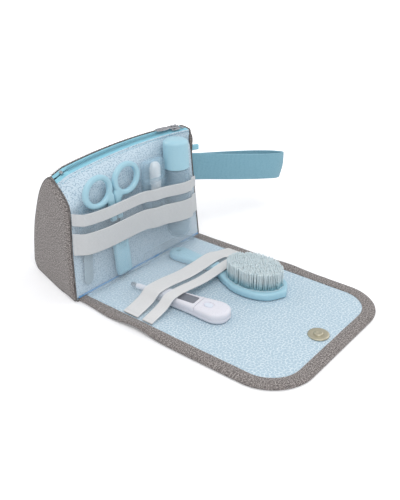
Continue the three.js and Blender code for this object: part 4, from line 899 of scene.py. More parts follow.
def repeat(piece: Piece, build: Callable[[], Tree], shape: Surface, finish: Finish, **values) -> Piece:
    """Repeats a shape over an object by a geometry tree and keeps only the result.

    Args:
        piece: the object that the tree starts from.
        build: makes the tree on first use.
        shape: what is repeated.
        finish: its finish.
        values: what the tree's other inputs take.

    Returns:
        The same object, with the result as its mesh.
    """
    mesh = bpy.data.meshes.new("one_" + piece.name)
    mesh.from_pydata([tuple(v * MM) for v in shape.verts], [], shape.faces)
    tidy(mesh)
    mesh.shade_smooth()
    made = stand(mesh.name, mesh)
    tree = TREES.get(build.__name__)
    if tree is None:
        tree = TREES[build.__name__] = build()
    modifier = piece.modifiers.new(tree.name, "NODES")
    modifier.node_group = tree
    keys = {item.name: item.identifier for item in tree.interface.items_tree if item.in_out == "INPUT"}
    for name, value in {**values, "Shape": made, "Finish": finish.material()}.items():
        modifier[keys[name]] = value
    remade(piece)
    drop(made)
    piece.data.shade_smooth()
    return piece


def guide(name: str, runs: Runs, joined: bool = True) -> Piece:
    """Makes the bare points, in millimetres of the row frame, that a tree follows.

    Args:
        name: the finished piece's name.
        runs: points and their up directions, for each separate path.
        joined: whether the points are joined into paths at all.
    """
    verts, ups, edges = [], [], []
    for points, directions in runs:
        base = len(verts)
        verts += [tuple(p * MM) for p in points]
        ups += [tuple(d) for d in directions]
        if joined:
            edges += [(base + i, base + i + 1) for i in range(len(points) - 1)]
    mesh = bpy.data.meshes.new(name)
    mesh.from_pydata(verts, edges, [])
    layer = mesh.attributes.new("up", "FLOAT_VECTOR", "POINT")
    for item, value in zip(layer.data, ups):
        item.vector = value
    return stand(name, mesh)


def drop(made: Piece) -> None:
    """Removes an object that has served its use."""
    mesh = made.data
    bpy.data.objects.remove(made)
    bpy.data.meshes.remove(mesh)


def stitches(name: str, runs: Runs, finish: Finish, step: float = 3.2, length: float = 2.2) -> Piece:
    """Sews a line of stitches along each path.

    Args:
        name: the piece's name.
        runs: points and up directions of each seam.
        finish: the thread.
        step: from one stitch to the next, in millimetres.
        length: how long a stitch is.
    """
    radius = 0.2
    rise = [(t, radius * (2.2 * math.sin(math.pi * t) - 0.9)) for t in (0, 0.2, 0.5, 0.8, 1)]
    thread = Surface().tube([Vector((length * (t - 0.5), 0, z)) for t, z in rise], radius, 5)
    return repeat(guide(name, runs), follow_tree, thread, finish, Spacing=step * MM)


TREES: dict[str, Tree] = {}
FRAME: dict = {}


# The bag


@dataclass(frozen=True)
class Station:
    """A point of the bag's section with its outward normal."""

    y: float
    z: float
    ny: float
    nz: float

    def out(self, offset: float) -> Point:
        """Returns the point at an offset along the normal."""
        return self.y + self.ny * offset, self.z + self.nz * offset


@dataclass(frozen=True)
class BagForm:
    """The bag's outline, in millimetres, with the fold at Y 0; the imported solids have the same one."""

    width: float = 190.0
    depth: float = 90.0
    height: float = 125.6
    crown_rise: float = 7.75
    ridge_tilt: float = 0.096  # the ridge rises this much for each millimetre to the right
    ridge_turn: float = 0.17  # and comes forward this much
    side_lean: float = 0.088  # each gusset leans in this much for each millimetre up
    gusset_turn: float = 15.4
    front_lean: float = 3.0
    shoulder_radius: float = 25.65
    back_corner: float = 10.0
    front_corner: float = 5.0
    panel_wall: float = 2.4
    gusset_wall: float = 4.2
    zip_front: float = 61.0  # degrees round the shoulder
    zip_back: float = 88.0
    coil_width: float = 1.8
    coil_slot: float = 1.3
    back_shares: tuple[Point, ...] = ((0.18, 0.93), (0.46, 0.755), (0.68, 0.54), (0.87, 0.31))

    @property
    def shoulder(self) -> Point:
        """The middle of the shoulder's arc."""
        return self.front_lean + self.shoulder_radius, self.height - self.shoulder_radius

    @property
    def turn_tan(self) -> float:
        """Tangent of the gussets' turn."""
        return math.tan(math.radians(self.gusset_turn))

    @property
    def turn_cos(self) -> float:
        """Cosine of the gussets' turn."""
        return math.cos(math.radians(self.gusset_turn))

    @property
    def front_slope(self) -> float:
        """How far the front leans back for each millimetre up."""
        return self.front_lean / self.shoulder[1]

    def crown(self, x: float) -> float:
        """Returns how much the ridge's crown and tilt raise a place across the bag."""
        stretch = math.hypot(1, self.ridge_turn)
        half = stretch * self.width / 2
        radius = (half**2 + self.crown_rise**2) / (2 * self.crown_rise)
        tilt = math.atan(self.ridge_tilt / stretch)
        reach = stretch * x - radius * math.sin(tilt)
        return math.sqrt(radius**2 - reach**2) - radius * math.cos(tilt) + self.crown_rise

    def half_width(self, y: float, z: float) -> float:
        """Returns half the bag's width at a distance from the fold and a height."""
        return self.width / 2 - y * self.turn_tan - z * self.side_lean

    @property
    def turn_depth(self) -> float:
        """How far behind the front face the ridge's turn is reached: at the zip's coil."""
        middle = math.radians((self.zip_front + self.zip_back) / 2)
        return self.shoulder_radius * (1 - math.cos(middle)) - self.coil_width - self.coil_slot

    def turn_at(self, y: float, z: float) -> float:
        """Returns how far a point of the section comes forward for each millimetre to the right."""
        front = self.front_slope * min(z, self.shoulder[1])
        back = smoothstep(y - front, 0, self.turn_depth)
        return self.ridge_turn * (back * min(1.0, z / (self.height - self.shoulder_radius / 2)))

    def spot(self, share: float, y: float, z: float, trim: float) -> Vector:
        """Carries a point of the section across the bag; -1 is the left side and 1 the right one."""
        turn = self.turn_at(y, z)
        x = share * (self.half_width(y, z) - trim) / (1 - share * turn * self.turn_tan)
        lift = self.crown(x) * min(1.0, max(0.0, z) / self.shoulder[1])
        return Vector((x, y - turn * x + ROW_Y, z + lift)) + self.settled(share, z)

    def settled(self, share: float, z: float) -> Vector:
        """Returns how the bag's soft left end gives: it leans back, and its top corner sinks."""
        high = min(1.0, max(0.0, z) / 60)
        top = smoothstep(z, 85.0, self.height)
        left = smoothstep(-share, 0.5 + 0.4 * top, 1.0) * high
        corner = smoothstep(-share, 0.9, 1.0)
        return Vector((-1.5 * left - 1.2 * corner * top, 2.8 * left + 1.5 * corner * top,
                       -5.5 * corner * top))

    def facing(self, station: Station) -> Vector:
        """Returns a station's outward direction, turned with the ridge."""
        turn = self.turn_at(station.y, station.z)
        along = Vector((1, -turn, self.ridge_tilt * min(1.0, station.z / self.shoulder[1]))).normalized()
        across = Vector((turn, 1, 0)).normalized()
        return across * station.ny + along.cross(across) * station.nz

    def arc(self, centre: Point, radius: float, start: float, stop: float, steps: int) -> list[Station]:
        """Returns stations round an arc; 0 degrees faces forward and 90 up."""
        stations = []
        for i in range(steps + 1):
            angle = math.radians(start + (stop - start) * i / steps)
            ny, nz = -math.cos(angle), math.sin(angle)
            stations.append(Station(centre[0] + radius * ny, centre[1] + radius * nz, ny, nz))
        return stations

    def over_shoulder(self, start: float, stop: float, steps: int) -> list[Station]:
        """Returns stations round the shoulder."""
        return self.arc(self.shoulder, self.shoulder_radius, start, stop, steps)

    def up_front(self, foot: float, steps: int) -> list[Station]:
        """Returns stations up the front, all but the one where the shoulder starts."""
        top = self.shoulder[1]
        slope = math.hypot(self.front_lean, top)
        heights = [foot + (top - foot) * i / steps for i in range(steps)]
        return [Station(self.front_lean * z / top, z, -top / slope, self.front_lean / slope) for z in heights]

    def down_back(self, steps: int) -> list[Station]:
        """Returns stations from the ridge down the back."""
        start = self.shoulder[0]
        points = [(start, self.height)]
        points += [(start + (self.depth - start) * s, self.height * h) for s, h in self.back_shares]
        points.append((self.depth, self.back_corner))
        stations = []
        for i in range(steps):
            (y, z), (dy, dz) = uniform_spline(points, (i + 0.5) / steps)
            stations.append(Station(y, z, -dz, dy))
        return stations

    def round_foot(self, steps: int) -> list[Station]:
        """Returns stations round the back's foot."""
        corner = self.back_corner
        return self.arc((self.depth - corner, corner), corner, 180, 270, steps)

    def at(self, station: Station, share: float, trim: float, offset: float = 0.0) -> Vector:
        """Returns the row-frame point at a share across the bag's half width, in millimetres."""
        return self.spot(share, *station.out(offset), trim)


BAG = BagForm()


def wrinkle(point: Vector, size: float, seed: float) -> float:
    """Returns smooth noise from -1 to 1 with folds about size millimetres apart."""
    return noise.noise(point / size + Vector((seed, seed * 1.7, seed * 0.3)))


@dataclass(frozen=True)
class BagShell:
    """The bag's cloth: front, back, base and gussets, with piping along the seams."""

    trim: float = 0.3
    columns: int = 48
    piping_radius: float = 0.7
    hem_radius: float = 0.9
    front_foot: float = 4.3

    def panel(self, name: str, stations: Sequence[Station], slump: float, finish: Finish) -> Piece:
        """Makes one lined panel that runs across the bag.

        Args:
            name: the piece's name.
            stations: the panel's section.
            slump: how far it gives inwards between its seams.
            finish: the outer cloth.
        """
        cloth = Cloth()
        far = 0.0
        for i, station in enumerate(stations):
            if i:
                far += math.hypot(station.y - stations[i - 1].y, station.z - stations[i - 1].z)
            end = min(1.0, min(i, len(stations) - 1 - i) / 5)
            spots = []
            for share in shares(self.columns):
                edge = min(1.0, (1 - abs(share)) * 6)
                rest = BAG.at(station, share, self.trim)
                give = slump * edge * end * (0.55 + 0.45 * wrinkle(rest, 34.0, 2.0))
                inner = BAG.at(station, share, self.trim, -give - BAG.panel_wall)
                spots.append((BAG.at(station, share, self.trim, -give), inner, (rest.x, far)))
            cloth.row(spots)
        return cloth.build(name, [finish, LINING])

    def gusset(self, name: str, side: int) -> Piece:
        """Makes one side of the bag, a soft plate that is fullest in its middle.

        Args:
            name: the piece's name.
            side: -1 for the left one, 1 for the right one.
        """
        stations = self.outline()
        middle_y = sum(s.y for s in stations) / len(stations)
        middle_z = sum(s.z for s in stations) / len(stations)

        def skin(surface: Surface, slot: int, steps: Sequence[tuple[float, float, float]]) -> list[list[int]]:
            rings, marks = [], []
            for scale, out, give in steps:
                places = [(middle_y + (s.y - middle_y) * scale, middle_z + (s.z - middle_z) * scale)
                          for s in stations]
                ring = []
                for s, (y, z) in zip(stations, places):
                    thin = out * (1 - 0.5 * smoothstep(scale, 0.88, 0.99) * (1 - smoothstep(s.y, 12.0, 34.0)))
                    thick = thin + give * wrinkle(Vector((0, y, z)), 30.0, side * 3.1)
                    ring.append(BAG.spot(side, y, z, -thick / BAG.turn_cos))
                rings.append(ring)
                marks.append([(y * MM, z * MM) for y, z in places])
            return surface.grid(rings, slot, closed=True, uvs=marks)

        wall = BAG.gusset_wall
        outside = [(1.0, 0, 0), (1.0, wall * 0.5, 0), (0.992, wall * 0.76, 0), (0.975, wall * 0.9, 0.1)]
        outside += [(s, wall * w, 0.35 * (1 - s) * 4) for s, w in ((0.95, 0.95), (0.91, 0.97), (0.86, 1.0))]
        outside += [(s, wall * 0.96, 0.5) for s in (0.78, 0.68, 0.58, 0.48, 0.38, 0.28, 0.18, 0.09, 0.02)]
        surface = Surface()
        low = skin(surface, 1, [(s, 0.0, 0.0) for s in (0.02, 0.4, 0.8, 1.0)])
        high = skin(surface, 0, outside)
        surface.face(low[0][::-1], 1)
        surface.face(high[-1])
        return surface.build(name, [TWEED, LINING])

    def outline(self) -> list[Station]:
        """Returns the gusset's whole outline, from the front foot over the ridge to the base."""
        corner = BAG.front_corner
        foot = BAG.arc((corner, corner), corner, -90, 0, 5)
        rise = BAG.up_front(corner + 4, 16)[1:]
        path = [*foot, *rise, *BAG.over_shoulder(0, 90, 14), *BAG.down_back(34), *BAG.round_foot(7)]
        last, first = path[-1], path[0]
        return [*path, *(Station(last.y + (first.y - last.y) * i / 12, last.z, 0, -1) for i in range(1, 12))]

    def piping(self) -> Piece:
        """Makes the dark piping round both gussets."""
        surface = Surface()
        for side in (-1, 1):
            path = []
            for s in self.outline():
                y, z = s.out(-0.15)
                out = BAG.gusset_wall * (0.3 + 0.42 * smoothstep(s.y, 12.0, 34.0))
                path.append(BAG.spot(side, y, max(z, self.piping_radius), -out / BAG.turn_cos))
            surface.tube(path, self.piping_radius, 8, closed=True)
        return surface.build("gusset_piping", [PIPING])

    def hem(self, name: str, angle: float, beside: float, finish: Finish, thread: Finish) -> None:
        """Makes the rolled hem along one side of the zip, with its stitches.

        Args:
            name: the piece's name.
            angle: the hem's place in degrees round the shoulder.
            beside: from there to the stitches, in degrees.
            finish: its cloth.
            thread: the stitches' finish.
        """
        station = BAG.over_shoulder(angle, 90, 1)[0]
        path = [BAG.at(station, share, self.trim + 0.6, 0.1) for share in shares(60)]
        ride(Surface().tube(path, self.hem_radius, 8).build(name, [finish]), "bag")
        sewn = BAG.over_shoulder(angle + beside, 90, 1)[0]
        line = [BAG.at(sewn, share * 0.985, self.trim, 0.05) for share in shares(60)]
        ride(stitches(name + "_stitches", [(line, [BAG.facing(sewn)] * len(line))], thread), "bag")

    def fold_line(self) -> Piece:
        """Makes a thin blue line along the fold, where the flap meets the front."""
        reach = BAG.width / 2 - 2.0
        path = [Vector((reach * share, ROW_Y - 1.0, 4.9)) for share in shares(60)]
        path = [p + UP * 0.12 * wrinkle(p, 16.0, 11.0) for p in path]
        return Surface().tube(path, 0.95).build("fold_welt", [FOLD_LINE])

    def build(self) -> None:
        """Makes every piece of the shell."""
        front = [*BAG.up_front(self.front_foot, 22), *BAG.over_shoulder(0, BAG.zip_front, 8)]
        back = [*BAG.over_shoulder(BAG.zip_back, 90, 7), *BAG.down_back(44), *BAG.round_foot(7)]
        base_back = BAG.depth - BAG.back_corner - self.trim
        base = [Station(base_back * i / 12, 0.0, 0.0, -1.0) for i in range(13)]
        ride(self.panel("front_panel_cloth", front, 0.0, FRONT_LINING), "bag", "front_panel")
        ride(self.panel("back_panel_cloth", back, 1.3, TWEED), "bag", "back_panel")
        ride(self.panel("base_panel_cloth", base, 0.0, TWEED), "bag", "base_panel")
        for node, side in (("left_gusset", -1), ("right_gusset", 1)):
            ride(self.gusset(node + "_cloth", side), "bag", node)
        ride(self.piping(), "bag")
        ride(self.fold_line(), "bag")
        self.hem("zip_front_hem", BAG.zip_front - 0.8, -5, FRONT_LINING, TAPE)
        self.hem("zip_back_hem", BAG.zip_back + 1.4, 6, PIPING, THREAD)


@dataclass(frozen=True)
class ZipFastener:
    """The zip round the ridge: woven tapes, two rows of nylon coil, end stops, slider and pull."""

    coil_radius: float = 1.15
    pitch: float = 1.5
    wire: float = 0.33
    tape_wall: float = 0.9
    stop_length: float = 3.2
    seat: float = 0.3

    @property
    def middle(self) -> float:
        """Degrees round the shoulder of the zip's middle."""
        return (BAG.zip_front + BAG.zip_back) / 2

    @property
    def per_degree(self) -> float:
        """Millimetres round the shoulder in one degree."""
        return math.radians(BAG.shoulder_radius)

    def tape(self, name: str, start: float, stop: float) -> Piece:
        """Makes one tape between two angles round the shoulder."""
        cloth = Cloth()
        steps = 6
        for i, station in enumerate(BAG.over_shoulder(start, stop, steps)):

            def skin(share: float, offset: float) -> Vector:
                spot = BAG.at(station, share, self.seat, offset)
                return spot + BAG.facing(station) * 0.12 * wrinkle(spot, 12.0, 5.0)

            far = self.per_degree * (start + (stop - start) * i / steps)
            upper = [skin(share, 0.0) for share in shares(96)]
            under = [skin(share, -self.tape_wall) for share in shares(96)]
            cloth.row([(high, low, (high.x, far)) for high, low in zip(upper, under)])
        return cloth.build(name, [TAPE])

    def coil(self, name: str, side: int) -> Piece:
        """Makes one row of coil: a loop of nylon at every pitch, from the tape to the slot.

        Args:
            name: the piece's name.
            side: -1 for the front row, 1 for the back row.
        """
        degree = (BAG.coil_slot / 2 + BAG.coil_width / 2) / self.per_degree
        station = BAG.over_shoulder(self.middle + side * degree, 90, 1)[0]
        points = [BAG.at(station, share, self.seat * 4 + self.stop_length) for share in shares(120)]
        lean, reach, rise = 0.21 * self.pitch, BAG.coil_width / 2 + 0.25, self.coil_radius
        turn = [Vector((lean * math.sin(a), reach * math.cos(a), rise * math.sin(a))) for a in turns(12)]
        loop = Surface().tube(turn, self.wire, 5, closed=True)
        path = guide(name, [(points, [BAG.facing(station)] * len(points))])
        return repeat(path, follow_tree, loop, COIL, Spacing=self.pitch * MM)

    def build(self) -> None:
        """Makes every piece of the zip."""
        clear = self.seat / self.per_degree
        under = (BAG.coil_slot / 2 + BAG.coil_width) / self.per_degree * 0.45
        tapes = (("front", BAG.zip_front + clear, self.middle - under),
                 ("back", self.middle + under, BAG.zip_back - clear))
        for label, start, stop in tapes:
            ride(self.tape(f"zip_tape_{label}_weave", start, stop), "bag", f"zip_tape_{label}")
        for label, side in (("front", -1), ("back", 1)):
            ride(self.coil(f"zip_coil_{label}_loops", side), "bag", f"zip_coil_{label}")
        refined("zip_stop_left", NICKEL, 0.25, "bag")
        refined("zip_stop_right", NICKEL, 0.25, "bag")
        refined("zip_slider", NICKEL, 0.3, "slider")
        refined("zip_pull", NICKEL, 0.3, "pull")


@dataclass(frozen=True)
class WristStrap:
    """A loop of ribbed webbing sewn into the right-hand seam, and the tab above it."""

    width: float = 31.5
    wall: float = 1.7
    root_wall: float = 0.35  # each layer, pressed flat where it is sewn in
    root_reach: float = 4.4  # full thick from here on
    length: float = 134.0
    flat_length: float = 272.0
    opening: float = 15.0
    droop: float = 21.0
    swing: float = 21.5
    root_y: float = 10.4
    root_z: float = 86.5
    slant: float = 5.0  # the lower edge is this much shorter at the far end
    shares: tuple[Point, ...] = ((0.15, 0.2), (0.35, 0.6), (0.55, 0.9), (0.75, 1.0), (0.92, 0.68))

    @property
    def frame(self) -> Matrix:
        """The strap's frame: X along it, Z up its width."""
        low = self.root_z / (1 + BAG.crown(BAG.width / 2) / BAG.shoulder[1])
        x = BAG.half_width(self.root_y, low) + BAG.gusset_wall / BAG.turn_cos + 0.3
        spot = Matrix.Translation((x, self.root_y + ROW_Y, self.root_z))
        return spot @ Matrix.Rotation(-math.radians(self.swing), 4, "Z")

    def section(self) -> list[tuple[float, float, float]]:
        """Returns the section: across the wall, up the width from -1 to 1, and proud of the edge."""
        edge = self.wall / 2
        near = [(-edge, -1.0, 0), (-edge * 0.5, -1, -0.35), (edge * 0.5, -1, -0.35), (edge, -1, 0)]
        near += [(edge, t, 0) for t in (-0.6, -0.2, 0.2, 0.6)]
        return near + [(-across, -up, -proud) for across, up, proud in near]

    def loop(self) -> Piece:
        """Makes the loop, its width softly bowed and its edges rounded."""
        half = self.wall / 2 + 0.15
        gap = 2 * (self.root_wall + 0.15) * math.tan(math.radians(self.swing + BAG.gusset_turn))
        side = [(far * self.length, wide * self.opening / 2) for far, wide in self.shares]
        near = [(gap, self.root_wall / 2 + 0.15), (self.root_reach, half), *side]
        path = sample_spline([*((x, -y) for x, y in near), (self.length - half, 0.0), *near[::-1]], 170)
        swing = math.radians(self.swing)
        lean = BAG.side_lean / (math.cos(swing) - BAG.turn_tan * math.sin(swing))
        rings, marks = [], []
        far = 0.0
        for i, (x, y) in enumerate(path):
            ahead, behind = path[min(i + 1, len(path) - 1)], path[max(i - 1, 0)]
            size = math.dist(ahead, behind)
            tx, ty = (ahead[0] - behind[0]) / size, (ahead[1] - behind[1]) / size
            far += math.hypot(x - behind[0], y - behind[1])
            share = x / self.length
            grown = min(1.0, (x - gap) / (self.root_reach - gap))
            thick = (self.root_wall + (self.wall - self.root_wall) * grown) / self.wall
            ring = []
            for across, up, proud in self.section():
                bow = 0.5 * (1 - up * up) * math.sin(math.pi * min(1.0, share)) * (1 if y > 0 else -1)
                out = across * thick + bow
                back = -self.slant * max(0.0, -up) * smoothstep(share, 0.75, 1.0)
                back -= up * self.width / 2 * lean * (1 - share) ** 2
                level = up * (self.width / 2 - 0.35) + proud
                ring.append(Vector((x - ty * out + back, y + tx * out, level - self.droop * share)))
            rings.append(ring)
            marks.append([(far * MM, up * self.width / 2 * MM) for _, up, _ in self.section()])
        surface = Surface().loft(rings, uvs=marks)
        return surface.build("wrist_strap_webbing", [WEBBING], place=self.frame)

    def build(self) -> None:
        """Makes the strap and its tab."""
        root, along = self.frame.translation, self.frame.to_3x3() @ Vector((12, 0, 0))
        strap = bend(self.loop(), "bag", "strap", root, root + along, "wrist_strap")
        refined("strap_anchor_tab", TAB, 0.5, "bag")


# The flap


@dataclass(frozen=True)
class FlapForm:
    """The flap's outline and its gentle waves, in millimetres from the fold."""

    length: float = 243.0
    half: float = 97.0
    tip_radius: float = 44.0
    fold_at: float = 168.0
    binding: float = 13.0
    top: float = 4.0
    split: float = 85.5  # under the narrow band

    @property
    def corner(self) -> float:
        """Where the tip's round corners start."""
        return self.length - self.tip_radius

    def outline(self, inset: float, start: float, stop: float) -> list[Ring]:
        """Returns the edge between two distances: one line round the tip, or one on each side."""
        half, far, radius = self.half - inset, self.length - inset, self.tip_radius - inset
        straight_end = min(stop, self.corner)
        count = max(2, round((straight_end - start) / 3.0))
        side = [(half, start + (straight_end - start) * i / count) for i in range(count + 1)]
        if stop <= self.corner:
            return [[Vector((x * sign, -v, 0)) for x, v in side] for sign in (1, -1)]
        middle = self.half - self.tip_radius
        for i in range(1, 19):
            angle = math.pi / 2 * i / 18
            side.append((middle + radius * math.cos(angle), self.corner + radius * math.sin(angle)))
        side += [(middle * (1 - i / 12), far) for i in range(1, 12)]
        return [[Vector((x, -v, 0)) for x, v in [*side, (0.0, far), *((-x, v) for x, v in side[::-1])]]]

    def wave(self, point: Vector) -> Vector:
        """Returns where the flap's soft edges lift a point to; the middle stays flat on the table."""
        v = -point.y
        outer = smoothstep(abs(point.x), 82.0, 97.0)
        if point.x < 0:
            rise = math.exp(-(((v - 78) / 22) ** 2))
            return point + Vector((1.5 * rise + 4.0 * (1 - smoothstep(v, 4, 55)), 0, 3.2 * rise)) * outer
        return point + Vector((-1.2, 0, 2.2)) * math.exp(-(((v - 128) / 20) ** 2)) * outer

    def half_at(self, v: float, inset: float) -> float:
        """Returns half the flap's width, less an inset, at a distance from the fold."""
        if v <= self.corner:
            return self.half - inset
        reach = max(0.0, (self.tip_radius - inset) ** 2 - (v - self.corner) ** 2)
        return self.half - self.tip_radius + math.sqrt(reach)


FLAP = FlapForm()
HINGE = Matrix.Translation((0, ROW_Y, 0))


@dataclass(frozen=True)
class Flap:
    """The flap: a tweed back, a printed lining and a wide tweed binding round both, in two stretches."""

    def binding_part(self, name: str, start: float, stop: float) -> Piece:
        """Sweeps the folded binding along the flap's edge between two distances from the fold."""
        wide = FLAP.binding
        section = [(0.0, 2.0), (0.2, 1.1), (0.9, 0.4), (2.2, 0.05), (wide * 0.5, 0.0), (wide - 0.6, 0.05),
                   (wide - 0.1, 0.5), (wide - 0.8, 1.7), (wide - 0.2, 2.9), (wide, 3.5), (wide - 0.5, 3.95),
                   (wide * 0.75, 4.15), (wide * 0.4, 4.2), (2.2, 4.0), (0.9, 3.6), (0.2, 2.9)]
        surface = Surface()
        for lines in zip(*(FLAP.outline(inset, start, stop) for inset, _ in section)):
            rings, marks, far = [], [], 0.0
            for i, edge in enumerate(lines[0]):
                ring = []
                for line, (_, z) in zip(lines, section):
                    point = Vector((line[i].x, line[i].y, z))
                    puff = 0.22 * wrinkle(point, 14.0, 7.0) * smoothstep(z, 1.0, 3.8)
                    ring.append(FLAP.wave(point + UP * puff))
                rings.append(ring)
                if i:
                    far += (edge - lines[0][i - 1]).length
                marks.append([((inset + (z if inset < 1 else 0)) * MM, far * MM) for inset, z in section])
            surface.loft(rings, uvs=marks)
        return surface.build(name, [TWEED], smooth=60.0, place=HINGE)

    def sheet_part(self, name: str, start: float, stop: float, low: float, high: float, finish: Finish,
                   inset: float, sag: float) -> Piece:
        """Makes a stretch of the tweed back or of the lining.

        Args:
            name: the piece's name.
            start: where it starts, from the fold.
            stop: where it ends.
            low: its underside's height.
            high: its upper side's height.
            finish: its cloth.
            inset: how far inside the flap's edge it ends.
            sag: how far its edges dip under the binding.
        """
        far = min(stop, FLAP.length - inset)
        steps = max(6, round((far - start) / 4))
        cloth = Cloth()
        for i in range(steps + 1):
            v = start + (far - start) * i / steps
            half = FLAP.half_at(v, inset)
            spots = []
            for share in shares(44):
                x = half * squared(share, 0.85)
                edge = half - abs(x)
                if stop >= FLAP.length:
                    edge = min(edge, FLAP.length - inset - v)
                point = Vector((x, -v, high - sag * (1 - smoothstep(edge, 0.5, 5.0))))
                point.z += 0.16 * sag * wrinkle(point, 18.0, 9.0) * smoothstep(edge, 3.0, 9.0)
                spots.append((FLAP.wave(point), FLAP.wave(Vector((x, -v, low))), (x, v)))
            cloth.row(spots)
        return cloth.build(name, [finish], place=HINGE)

    def seam_lines(self, start: float, stop: float) -> list[tuple[Ring, Ring]]:
        """Returns the stitched lines along the binding's inner edge, in the row frame."""
        lines = []
        for line in FLAP.outline(FLAP.binding - 1.6, start, stop):
            points = [HINGE @ FLAP.wave(Vector((p.x, p.y, FLAP.top - 0.3))) for p in line]
            lines.append((points, [UP] * len(points)))
        return lines

    def build(self) -> None:
        """Makes both stretches of the flap."""
        parts = (("near", 0.4, 1.2, FLAP.split, "bag", "flap_lower", -0.5, 7.0),
                 ("far", FLAP.split, 0.0, FLAP.length, "flap_lower", "flap_tip",
                  FLAP.fold_at - 4, FLAP.fold_at + 4))
        for label, start, tuck, stop, low, high, bend_from, bend_to in parts:
            ends = [Vector((0, ROW_Y - v, 4)) for v in (bend_from, bend_to)]
            binding = self.binding_part(f"flap_{label}_binding", start, stop)
            back = self.sheet_part(f"flap_{label}_back", start, stop, 0.1, 2.0, TWEED, 11.0, 0.0)
            lining = self.sheet_part(f"flap_{label}_lining", start - tuck, stop, 2.1, 3.75, LINING, 11.5, 0.9)
            bend(binding, low, high, *ends, high + "_shell")
            bend(back, low, high, *ends)
            bend(lining, low, high, *ends, high + "_lining")
            bend(stitches(f"flap_{label}_stitches", self.seam_lines(start, stop), THREAD), low, high, *ends)


# Pockets: clear film under elastic bands


@dataclass(frozen=True)
class Pocket:
    """A clear pocket and its two bands, which follow a run of points across and out from a wall."""

    name: str
    run: tuple[Point, ...]
    bands: tuple[tuple[str, float, float], ...]
    top: float
    body: str
    rests_on: tuple[str, ...]
    elastic: Finish = ELASTIC
    film_wall: float = 0.5
    band_wall: float = 1.1
    seat: float = 0.3
    seam: float = 1.0
    steps: int = 150

    def foot(self, x: float, out: float) -> float:
        """Returns how far along the wall the film starts."""
        raise NotImplementedError

    def turn(self, x: float, out: float) -> float:
        """Returns where the film stands fully clear of the wall."""
        raise NotImplementedError

    def place(self, x: float, out: float, v: float) -> Vector:
        """Carries a point across, out and along the wall to the row frame."""
        raise NotImplementedError

    def fall(self, x: float) -> float:
        """Returns how far the bands drop at a place along the run."""
        return 0.0

    def slide(self, x: float, v: float) -> float:
        """Returns how far the film drops with its bands."""
        return 0.0

    def samples(self) -> list[tuple[float, float, float]]:
        """Returns places along the run: across, out and the run's length so far."""
        result = []
        far = 0.0
        for x, out in sample_spline(self.run, self.steps):
            out = max(out, self.seam)
            if result:
                far += math.hypot(x - result[-1][0], out - result[-1][1])
            result.append((x, out, far))
        return result

    def film(self) -> Piece:
        """Makes the film, with soft ripples between the tools and its edges."""
        cloth = Cloth()
        rows, turned = 26, 8
        for i in range(rows + 1):
            spots = []
            for x, out, far in self.samples():
                foot, turn = self.foot(x, out), self.turn(x, out)
                base = min(out, self.seat + self.film_wall)
                if i <= turned:
                    share = i / turned
                    v = foot + (turn - foot) * share
                    n = base + (out - base) * math.sin(share * math.pi / 2) ** 0.85
                else:
                    v = turn + (self.top - turn) * (i - turned) / (rows - turned)
                    n = out
                probe = Vector((x, 0, v))
                ripple = 0.16 * wrinkle(probe, 9.0, 4.0) + 0.1 * wrinkle(probe, 4.5, 8.0)
                n += ripple * min(1.0, i / 6) * smoothstep(out, 2.0, 6.0)
                v -= self.slide(x, v)
                inner = self.place(x, max(n - self.film_wall, self.seat * 0.7),
                                   v + (0 if i else self.film_wall))
                spots.append((self.place(x, n, v), inner, (far, v)))
            cloth.row(spots)
        return cloth.build(self.name + "_film_sheet", [FILM], smooth=80.0)

    def band(self, node: str, low: float, high: float) -> Piece:
        """Makes one elastic band, its edges rounded and its face a little uneven."""
        tall = high - low
        section = [(0.0, 0.25), (0.0, 0.75), (0.35, 1.0)]
        section += [(1.0 + (tall - 2.0) * t, 1.0) for t in (0, 0.25, 0.5, 0.75, 1.0)]
        section += [(tall - 0.35, 1.0), (tall, 0.75), (tall, 0.25), (tall - 0.6, 0.0), (tall / 2, 0.0),
                    (0.6, 0.0)]
        rings, marks = [], []
        for x, out, far in self.samples():
            ring = []
            for v, depth in section:
                n = out + self.seat + depth * self.band_wall
                spot = low + v - self.fall(x)
                if depth == 1.0:
                    n += 0.1 * wrinkle(Vector((x, 0, spot)), 10.0, 6.0)
                ring.append(self.place(x, n, spot))
            rings.append(ring)
            marks.append([(far * MM, v * MM) for v, _ in section])
        return Surface().loft(rings, uvs=marks).build(node + "_weave", [self.elastic], smooth=50.0)

    def ends(self, node: str, low: float, high: float) -> Piece:
        """Sews both ends of a band down with short cross stitches."""
        samples = self.samples()
        runs = []
        for x, out, _ in (samples[3], samples[-4]):
            face = out + self.seat + self.band_wall + 0.05
            points = [self.place(x, face, low + (high - low) * t - self.fall(x)) for t in (0.08, 0.5, 0.92)]
            up = (self.place(x, out + 5, low) - self.place(x, out, low)).normalized()
            runs.append((points, [up] * len(points)))
        return stitches(node + "_stitches", runs, self.elastic, step=1.8, length=1.3)

    def build(self) -> None:
        """Makes the film and the bands."""
        length = self.samples()[-1][2] * MM
        film = ride(unshaded(self.film()), self.body, self.name + "_film")
        list(self.rests_on)
        for node, low, high in self.bands:
            band = ride(self.band(node, low, high), self.body, node)
            ride(self.ends(node, low, high), self.body)


